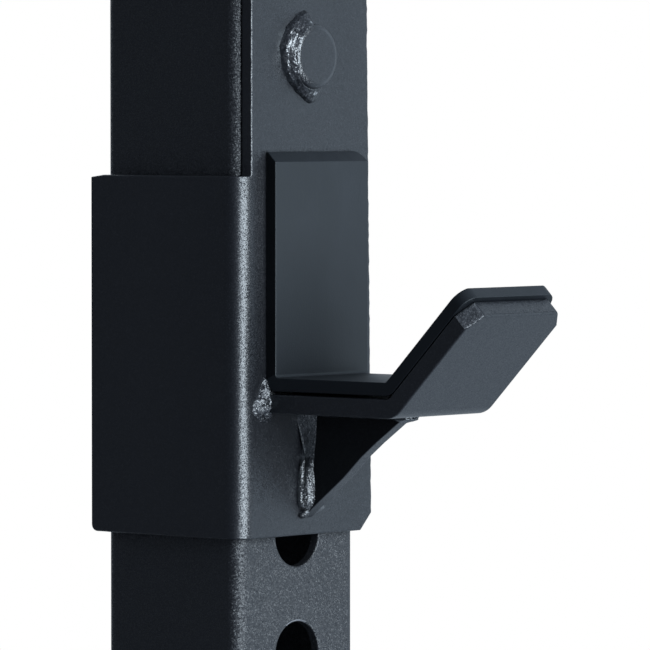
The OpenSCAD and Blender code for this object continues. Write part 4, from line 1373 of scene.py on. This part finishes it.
def pin_weld(u, w):
    a = A0 + (A1 - A0) * u
    ro, ri_, hh = interp(a, ring_a, ring_r), interp(a, ring_a, ring_i), interp(a, ring_a, ring_h)
    ro += 0.4 * fractal((a * 0.2, 0, 0), 2.2, 3, 2.0)
    r = ro + (ri_ - ro) * w
    ca, sa = math.cos(math.radians(a)), math.sin(math.radians(a))
    x, z = r * ca, PZ + r * sa
    # steep at the toe, easing to a shoulder that laps on to the pin's face
    h = hh * (0.42 * (w / 0.17) ** 0.8 if w < 0.17 else min(1.0, 0.42 + 0.58 * (w - 0.17) / 0.70))
    crumple = smooth01((a - 118) / 26) * smooth01((236 - a) / 34)
    # crumpled skin: folds that run along the bead, and fine wrinkles
    q_ = (r * 1.0, a * 0.11, 0.0)
    nz = fractal((x, 0, z * 0.85), 0.95, 4, 4.0)
    nf = fractal((x, 0, z), 0.48, 3, 7.0)
    nb = fractal(q_, 1.6, 3, 6.0)
    edge = smooth01(w / 0.10) * smooth01((1 - w) / 0.05) * smooth01(u / 0.05) * smooth01((1 - u) / 0.05)
    fold = 0.15 * crumple * math.sin(r * 3.4 + 3.0 * nb + a * 0.05)
    h += edge * ((0.12 + 0.12 * crumple) * nz + (0.04 + 0.09 * crumple) * nf + (0.16 + 0.16 * crumple) * nb + fold)
    if w < 1e-6 or u < 1e-6 or u > 1 - 1e-6:
        h = min(h, 0.0)
    return (x, FACE - max(h, -0.1), z)


def pin_weld_base(u, w):
    a = A0 + (A1 - A0) * u
    ro, ri_ = interp(a, ring_a, ring_r), interp(a, ring_a, ring_i)
    r = ro + (ri_ - 0.4 - ro) * w
    return (r * math.cos(math.radians(a)), FACE + 0.6, PZ + r * math.sin(math.radians(a)))


# (b) gusset to plate, on the flange side: two ridges with a groove below, a flat above
gz = [10.0, 11.2, 12.6, 14.7, 18.9, 23.1, 27.2, 31.4, 35.6, 39.8, 44.0, 47.5, 51.75]
g_plate = [-3.2, -4.6, -5.4, -5.9, -5.9, -5.6, -5.2, -4.3, -3.5, -3.6, -4.8, -6.0, -7.0]   # toe on the plate, x
g_side = [3.0, 4.4, 5.6, 6.6, 6.8, 6.6, 6.1, 6.4, 6.6, 7.4, 7.6, 7.8, 7.9]                # toe on the gusset, from the plate
# the far side: its foot spreads beside the gusset's lower end
fz = [8.0, 9.2, 10.6, 12.4, 15.0, 20.0, 30.0, 40.0, 51.75]
f_plate = [-4.2, -8.0, -11.0, -10.4, -8.0, -6.6, -6.0, -6.0, -6.6]
f_side = [1.0, 2.0, 3.2, 4.4, 5.4, 6.0, 6.2, 6.6, 7.0]


def fillet_run(zs, toes, sides, mirror):
    z0, z1 = zs[0], zs[-1]

    def top(u, w):
        z = z0 + (z1 - z0) * u
        xt, yt = interp(z, zs, toes), interp(z, zs, sides)
        p0 = np.array([xt, FACE, z])
        p1 = np.array([-3.0, FACE - yt, z])
        p = p0 + (p1 - p0) * w
        out = np.array([-yt, -(-3.0 - xt), 0.0])
        out = out / (np.linalg.norm(out) + 1e-9)
        low = 0.0 if mirror else smooth01((34 - z) / 6)
        foot = smooth01((z - z0) / 3.5)
        split = smooth01((z - 18) / 9)
        two = 1.1 * math.exp(-((w - 0.18) / 0.15) ** 2) + 1.4 * math.exp(-((w - 0.68) / 0.26) ** 2) - 0.6 * math.exp(-((w - 0.38) / 0.07) ** 2)
        one = 1.5 * math.exp(-((w - 0.46) / 0.40) ** 2) + 0.35 * math.exp(-((w - 0.22) / 0.10) ** 2) + 0.3 * math.exp(-((w - 0.68) / 0.12) ** 2)
        ridge = split * two + (1 - split) * one
        flat_ = 0.25 * math.sin(PI * w)
        b = foot * (low * ridge + (1 - low) * flat_)
        nz = fractal((p[0], p[1], z * 0.6), 1.0, 4, 9.0)
        nf = fractal((p[0], p[1], z * 0.8), 0.5, 3, 15.0)
        nb = fractal((p[0], p[1], z * 0.45), 2.6, 3, 12.0)
        edge = smooth01(w / 0.1) * smooth01((1 - w) / 0.08) * smooth01(u / 0.04)
        b += edge * ((0.10 + 0.14 * low) * nz + (0.05 + 0.08 * low) * nf + (0.14 + 0.26 * low) * nb)
        q_ = p + out * b
        return ((-q_[0] if mirror else q_[0]), q_[1], q_[2])

    def base(u, w):
        z = z0 + (z1 - z0) * u
        xt, yt = interp(z, zs, toes), interp(z, zs, sides)
        if w < 0.5:
            t = w * 2
            q_ = (xt + (-2.4 - xt) * t, FACE + 0.5, z)
        else:
            t = (w - 0.5) * 2
            q_ = (-2.4, FACE + 0.5 - (yt + 0.5) * t, z)
        return ((-q_[0] if mirror else q_[0]), q_[1], q_[2])

    return top, base


# (c) the lump where the seat's rear corner meets the plate
lump_z = [47.8, 49.0, 51.0, 53.0, 55.0, 57.0, 58.6, 61.0, 64.0, 66.4]
lump_l = [-28.0, -30.6, -33.2, -34.2, -34.4, -33.4, -31.0, -29.9, -28.6, -27.2]     # left toe, x
lump_r = [-23.5, -23.5, -24.5, -25.7, -25.7, -25.7, -25.7, -25.7, -25.8, -26.3]     # right limit, x
lump_h = [0.2, 0.7, 1.9, 3.3, 3.4, 3.0, 2.7, 2.2, 1.4, 0.3]                          # height at the right limit


def lump(u, w):
    z = 47.8 + (66.4 - 47.8) * u
    xl, xr, hh = interp(z, lump_z, lump_l), interp(z, lump_z, lump_r), interp(z, lump_z, lump_h)
    xl += 0.5 * fractal((0, 0, z), 1.6, 3, 21.0)
    x = xl + (xr - xl) * w
    h = hh * math.sin(PI / 2 * w) ** 0.85
    edge = smooth01(w / 0.1) * smooth01(u / 0.06) * smooth01((1 - u) / 0.06)
    n1 = fractal((x, 0, z), 2.0, 3, 22.0)
    n2 = fractal((x, 0, z), 0.8, 4, 23.0)
    pit = max(0.0, fractal((x, 0, z), 1.5, 2, 24.0) - 0.22)
    h += edge * (0.48 * n1 + 0.15 * n2 - 2.0 * pit)
    if w < 1e-6 or u < 1e-6 or u > 1 - 1e-6:
        h = min(h, 0.0)
    return (x, FACE - max(h, -0.3), z)


def lump_base(u, w):
    z = 47.8 + (66.4 - 47.8) * u
    xl, xr = interp(z, lump_z, lump_l), interp(z, lump_z, lump_r)
    return (xl + (xr - xl) * w, FACE + 0.7, z)


def blob(cx, cy, cz, rx, ry, rz, tilt, amp, scale, seed, nu=40, nv=28):
    """Rough lump of weld metal, tilted in the plate's plane."""
    rings = []
    ct, st = math.cos(math.radians(tilt)), math.sin(math.radians(tilt))
    for j in range(1, nv):
        b = PI * j / nv
        ring = []
        for i in range(nu):
            a = 2 * PI * i / nu
            n = np.array([math.sin(b) * math.cos(a), math.cos(b), math.sin(b) * math.sin(a)])
            k = 1 + amp * fractal(n * 3.0, scale, 4, seed) + amp * 0.6 * fractal(n * 3.0, scale * 0.35, 3, seed + 2)
            x, y, z = n[0] * rx * k, n[1] * ry * k, n[2] * rz * k
            ring.append((cx + x * ct - z * st, cy + y, cz + x * st + z * ct))
        rings.append(ring)
    v_, f_ = sweep_rings(rings, False)
    return orient(v_, f_)


def weld_set():
    soup = Soup()
    v_, f_ = height_patch(210, 46, pin_weld, pin_weld_base)
    soup.add(v_, f_)
    # painted shade: both ends of the crescent take the less reflective copy of the weld coat; painted highlight: two
    # small patches on the bead take the light glint coat
    for i, g in enumerate(f_):
        q_ = v_[list(g)].mean(0)
        a = math.degrees(math.atan2(q_[2] - PZ, q_[0])) % 360 + 7.0 * fractal(q_, 2.0, 3, 41.0)
        r_ = math.hypot(q_[0], q_[2] - PZ) + 0.5 * fractal(q_, 0.9, 2, 44.0)
        if a < 140 or a > 226:
            soup.m[i] = 4 if (271 < a < 282 and 14.7 < r_ < 16.0) or (96 < a < 102 and 14.2 < r_ < 15.0) else 2
    for zs, toes, sides, mir in ((gz, g_plate, g_side, False), (fz, f_plate, f_side, True)):
        top, base = fillet_run(zs, toes, sides, mir)
        v_, f_ = height_patch(130, 38, top, base)
        n0 = len(soup.m)
        soup.add(v_, f_)
        # painted light: the far side and the upper part take the lighter-based matt coat, a middle band the less
        # reflective copy (painted shade), and the lower ridges the lighter grainy coat (painted highlight)
        for i, g in enumerate(f_):
            q_ = v_[list(g)].mean(0)
            z_ = q_[2] - 2.2 * fractal(q_, 2.5, 3, 31.0)
            soup.m[n0 + i] = 1 if mir or z_ > 33.0 else 2 if z_ > (28.5 if q_[0] < -4.6 else 25.0) else 3
    v_, f_ = height_patch(76, 44, lump, lump_base)
    n0 = len(soup.m)
    soup.add(v_, f_)
    # painted shade: the lump's lower end takes the less reflective copy of the weld coat
    for i, g in enumerate(f_):
        q_ = v_[list(g)].mean(0)
        soup.m[n0 + i] = 2 if q_[2] < 51.5 + 1.5 * fractal(q_, 1.5, 3, 43.0) else 5
    # round the gusset's foot in the less reflective copy of the weld coat (painted shade); the small third blob carries
    # the glint coat, a painted highlight
    v_, f_ = blob(3.6, FACE + 0.5, 9.9, 5.4, 1.3, 2.2, 4, 0.12, 1.4, 5.0)
    soup.add(v_, f_, mat=2)
    v_, f_ = blob(-3.1, FACE - 0.7, 8.8, 2.5, 1.9, 1.7, 10, 0.12, 1.4, 9.0, 28, 18)
    soup.add(v_, f_, mat=2)
    v_, f_ = blob(-2.9, FACE - 2.2, 10.0, 1.6, 1.1, 0.75, 22, 0.2, 1.4, 6.0, 24, 16)
    soup.add(v_, f_, mat=4)
    # on top of the seat, along the plate, behind the liner's rounded corner
    path = dense([(SX0 + 0.4, FACE, SEAT), (SX1 - 0.8, FACE, SEAT)], 0.6)
    n_ = len(path)
    v_, f_ = bead(path, np.tile([0, -1.0, 0], (n_, 1)), np.tile([0, 0, 1.0], (n_, 1)), 2.9, 2.9, seed=1.0, pitch=2.4, rough=0.25, amp=0.06)
    soup.add(v_, f_)
    # along the gusset's upper edge, under the seat, swelling to a smooth toe at its tip
    for sx in (-1, 1):
        path = dense([(sx * 3.0, -13.0, SAD_UP), (sx * 3.0, -60.0, SAD_UP)], 0.5)
        n_ = len(path)
        v_, f_ = bead(path, np.tile([sx * 1.0, 0, 0], (n_, 1)), np.tile([0, 0, -1.0], (n_, 1)), 2.2, 1.7, seed=4.0 + sx, pitch=1.9, rough=0.9, amp=0.16)
        soup.add(v_, f_)
    v_, f_ = blob(0.0, -58.6, 51.0, 5.4, 6.2, 2.3, 0, 0.13, 1.6, 7.0)
    soup.add(v_, f_)
    return soup


welds = weld_set()

for s, sn in ((1, "right"), (-1, "left")):
    pl, fl, bd = hook_frame(s), s < 0, f"hook_{sn}"
    emit(f"{sn}_angle_bracket", bracket_v, bracket_f, hook_paint, bd, place=pl, mirror=fl, replaces=(f"hook_bracket_{sn}",), slot="hook_coating")
    emit(f"{sn}_saddle_plate", saddle_v, saddle_f, [hook_paint, torch_coat, edge_shaded_coat], bd, place=pl, mirror=fl, replaces=(f"hook_saddle_{sn}",),
         slot="hook_coating", face_mat=saddle_m, sharp=30)
    emit(f"{sn}_saddle_liner", liner_v, liner_f, [liner_mat, liner_side_shade, liner_bevel_shade], bd, face_mat=liner_shade_mask, place=pl, mirror=fl, replaces=(f"hook_liner_{sn}",), slot="liner_plastic", sharp=30)
    emit(f"{sn}_gusset_plate", gusset_v, gusset_f, [hook_paint, shade_paint], bd, face_mat=gusset_shade_mask, place=pl, mirror=fl, replaces=(f"hook_gusset_{sn}",), slot="hook_coating")
    emit(f"{sn}_locking_pin", pin_v, pin_f, hook_paint, bd, place=pl, mirror=fl, replaces=(f"hook_pin_{sn}",), slot="hook_coating")
    emit(f"{sn}_weld_beads", np.concatenate(welds.v), welds.f, [weld_coat, band_light_coat, weld_shaded_coat, grain_highlight_coat, weld_glint_coat, lump_coat], bd, place=pl, mirror=fl,
         replaces=(f"hook_welds_{sn}",), slot="hook_coating", sharp=55, weighted=False, face_mat=welds.m)


# ------------------------------------------------------------------ safety rods
ROD_R, ROD_Z = 12.5, HOLE0 + 13 * PITCH - (13.4 - 12.5 - 0.32)
ROD0, ROD1 = -106.0, BACK + 18
for s, sn in ((1, "right"), (-1, "left")):
    bd = f"rod_{sn}"

    def at_rod(p, s=s):
        return np.stack([p[:, 0], p[:, 2], -p[:, 1]], 1) + np.array([s * CX, FRONT_Y, ROD_Z])

    prof = [(0, ROD0), (ROD_R - 1, ROD0), (ROD_R, ROD0 + 1)] + [(ROD_R, ROD0 + (ROD1 - 3 - ROD0) * k / 30) for k in range(1, 30)]
    prof += [(ROD_R, ROD1 - 3), (ROD_R - 0.4, ROD1 - 2.4), (ROD_R - 2.6, ROD1 - 0.3), (ROD_R - 3.2, ROD1), (0, ROD1)]
    v, f = lathe(prof, 64)
    v, f = orient(v, f)
    emit(f"{sn}_spotter_rod", v, f, rod_mat, bd, place=at_rod, replaces=(f"safety_rod_{sn}",), slot="rod_steel", sharp=40)
    prof = rounded_profile([(ROD_R + 0.05, -8.0), (ROD_R + 0.6, -8.4), (20.9, -8.4), (22, -7.3), (22, -1.4), (21.1, -0.4), (ROD_R + 0.6, -0.4), (ROD_R + 0.05, -0.9)], 0.4, 2)
    v, f = lathe(prof, 64)
    v, f = orient(v, f)
    emit(f"{sn}_spotter_collar", v, f, rod_mat, bd, place=at_rod, replaces=(f"safety_rod_collar_{sn}",), slot="rod_steel", sharp=40)
    # grip: a domed nose, shallow ribs, and a flange
    g0 = ROD0 - 4
    prof = [(0, g0), (9, g0 + 0.05), (12.6, g0 + 0.5), (14.6, g0 + 1.6), (15.9, g0 + 3.2), (16.5, g0 + 5.5)]
    z = g0 + 8
    while z < g0 + 84:
        for dz, r_ in ((0, 16.9), (0.6, 16.5), (1.1, 15.6), (2.2, 15.6), (2.7, 16.5), (3.3, 16.9), (5.0, 17.0)):
            prof.append((r_, z + dz))
        z += 6.0
    prof += [(17, g0 + 87), (17.2, g0 + 89), (18.2, g0 + 90.4), (19.8, g0 + 91.0), (20.7, g0 + 91.6), (21, g0 + 92.6), (21, g0 + 94.6),
             (20.6, g0 + 95.6), (19.8, g0 + 96), (ROD_R + 0.6, g0 + 96), (ROD_R + 0.05, g0 + 95.4), (ROD_R + 0.05, g0 + 4.2), (0, g0 + 4.2)]
    v, f = lathe(prof, 64)
    v, f = orient(v, f)
    emit(f"{sn}_spotter_grip", v, f, grip_mat, bd, place=at_rod, replaces=(f"safety_rod_grip_{sn}",), slot="grip_rubber", sharp=50)


# ------------------------------------------------------------------ stage
def disc_floor():
    n, rings = 96, 24
    R = 5.2
    verts, faces = [(0, 0, 0)], []
    for k in range(1, rings + 1):
        verts += [(R * k / rings * math.cos(2 * PI * i / n), R * k / rings * math.sin(2 * PI * i / n), 0) for i in range(n)]
    for i in range(n):
        faces.append((0, 1 + i, 1 + (i + 1) % n))
    for k in range(rings - 1):
        for i in range(n):
            j = (i + 1) % n
            a, b = 1 + k * n, 1 + (k + 1) * n
            faces.append((a + i, b + i, b + j, a + j))
    me = bpy.data.meshes.new("studio_floor")
    me.from_pydata(verts, [], faces)
    ob = bpy.data.objects.new("studio_floor", me)
    bpy.context.scene.collection.objects.link(ob)
    m = Mat("floor_paint")
    broad = m.noise(1.1, 3.0, 0.5)
    # the paint fades into the white surround towards the rim
    dist = m.nt.nodes.new("ShaderNodeVectorMath")
    dist.operation = "LENGTH"
    m.link(m.co, dist.inputs[0])
    fade = m.ramp(m.math("DIVIDE", dist.outputs["Value"], R), [(0.42, 0.0), (0.97, 1.0)])
    paint = m.ramp(broad, [(0.3, (0.78, 0.78, 0.775)), (0.7, (0.83, 0.83, 0.825))])
    m.link(m.mix(fade, paint, (0.0, 0.0, 0.0)), m.b.inputs["Base Color"])
    m.link(m.rng(m.noise(60.0, 3.0), 0.55, 0.7), m.b.inputs["Roughness"])
    m.link(m.rng(fade, 0.34, 1.0), m.b.inputs["Emission Strength"])
    m.set(glow_colour=(1.0, 1.0, 1.0), spec=0.1)
    me.materials.append(m.m)
    # flagged off the rack, so that it doesn't fill the shaded sides
    ob.visible_diffuse = False
    ob.visible_glossy = False
    return ob


disc_floor()
sc = bpy.context.scene

# world: white to the camera, a soft dim studio to everything else
w = bpy.data.worlds.new("studio")
sc.world = w
w.use_nodes = True
nt = w.node_tree
nt.nodes.clear()
out = nt.nodes.new("ShaderNodeOutputWorld")
cam_bg = nt.nodes.new("ShaderNodeBackground")
cam_bg.inputs["Color"].default_value = (1, 1, 1, 1)
cam_bg.inputs["Strength"].default_value = 1.0
env = nt.nodes.new("ShaderNodeBackground")
env.inputs["Strength"].default_value = 1.0
tc = nt.nodes.new("ShaderNodeTexCoord")
sep = nt.nodes.new("ShaderNodeSeparateXYZ")
nt.links.new(tc.outputs["Generated"], sep.inputs[0])


def wmath(op, a, b):
    n = nt.nodes.new("ShaderNodeMath")
    n.operation = op
    for s_, x in zip(n.inputs, (a, b)):
        if isinstance(x, (int, float)):
            s_.default_value = x
        else:
            nt.links.new(x, s_)
    return n.outputs[0]


# bright beyond the right of the rack, dark to its left, with a gap beside the key light
azim = wmath("ADD", wmath("DIVIDE", wmath("ARCTAN2", sep.outputs["X"], wmath("MULTIPLY", sep.outputs["Y"], -1.0)), 2 * PI), 0.5)
rampn = nt.nodes.new("ShaderNodeValToRGB")
el = rampn.color_ramp.elements
LEFT_T, RIGHT_T = (0.87, 0.92, 1.10), (0.80, 0.93, 1.08)
stops = [(-180, 0.30, RIGHT_T), (-150, 0.12, LEFT_T), (-131, 0.092, LEFT_T), (-90, 0.085, LEFT_T), (-62, 0.10, LEFT_T), (-40, 0.24, LEFT_T), (-24, 0.55, LEFT_T), (18, 0.50, LEFT_T), (27, 0.095, LEFT_T),
         (34, 0.11, LEFT_T), (49, 0.35, RIGHT_T), (66, 0.63, RIGHT_T), (90, 0.56, RIGHT_T), (131, 0.54, RIGHT_T), (160, 0.40, RIGHT_T), (180, 0.30, RIGHT_T)]
while len(el) < len(stops):
    el.new(0.5)
for e_, (az_, lv, tn) in zip(el, stops):
    e_.position = min(1.0, max(0.0, az_ / 360.0 + 0.5))
    e_.color = (lv * tn[0], lv * tn[1], lv * tn[2], 1)
nt.links.new(azim, rampn.inputs[0])
nt.links.new(rampn.outputs[0], env.inputs["Color"])
lp = nt.nodes.new("ShaderNodeLightPath")
mx = nt.nodes.new("ShaderNodeMixShader")
nt.links.new(lp.outputs["Is Camera Ray"], mx.inputs[0])
nt.links.new(env.outputs[0], mx.inputs[1])
nt.links.new(cam_bg.outputs[0], mx.inputs[2])
nt.links.new(mx.outputs[0], out.inputs[0])

HOOK = Vector((CX * MM, FRONT_Y * MM, 1.30))


def softbox(name, azimuth, elevation, dist, w_, h_, radiance, colour=(1, 1, 1), target=HOOK):
    """Area light seen from the target at an azimuth from straight ahead (-Y), positive to the right."""
    a, e = math.radians(azimuth), math.radians(elevation)
    dirn = Vector((math.sin(a) * math.cos(e), -math.cos(a) * math.cos(e), math.sin(e)))
    ld = bpy.data.lights.new(name, "AREA")
    ld.shape = "RECTANGLE"
    ld.size, ld.size_y = w_, h_
    ld.energy = radiance * PI * w_ * h_
    ld.color = colour
    ob = bpy.data.objects.new(name, ld)
    ob.location = target + dirn * dist
    ob.rotation_mode = "QUATERNION"
    ob.rotation_quaternion = (-dirn).to_track_quat("-Z", "Y")
    ob.visible_camera = False
    bpy.context.scene.collection.objects.link(ob)
    return ob


softbox("key_strip", -1.8, 8, 4.2, 3.6, 3.4, 9.0, (0.97, 0.985, 1.0))
softbox("right_panel", 69, -2, 4.4, 2.7, 3.6, 0.50, (0.80, 0.91, 1.0))
softbox("right_high", 93, 41, 4.5, 2.4, 2.4, 0.30, (0.85, 0.93, 1.0))
softbox("rear_fill", 150, 20, 4.6, 2.6, 2.6, 1.2, (0.95, 0.97, 1.0))

# camera at the photograph's viewing point
TH, P = math.radians(48.94), math.atan(220 / 5800)
s_, c_ = math.sin(TH), math.cos(TH)
Rv = Vector((c_, -s_, 0))
Dv = Vector((s_, c_, 0)) * math.cos(P) + Vector((0, 0, -1)) * math.sin(P)
Uv = Rv.cross(Dv)
cd = bpy.data.cameras.new("photo_camera")
cd.sensor_fit = "HORIZONTAL"
cd.sensor_width = 36.0
cd.lens = 5800.0 / 650.0 * 36.0
cd.clip_start, cd.clip_end = 0.1, 60.0
cam = bpy.data.objects.new("photo_camera", cd)
bpy.context.scene.collection.objects.link(cam)
rot = Matrix((Rv, Uv, -Dv)).transposed()
cam.matrix_world = Matrix.Translation((-1.23865, -2.08468, 1.39420)) @ rot.to_4x4()
sc.camera = cam
sc.view_settings.view_transform = "Standard"
sc.view_settings.look = "None"

bpy.context.view_layer.update()
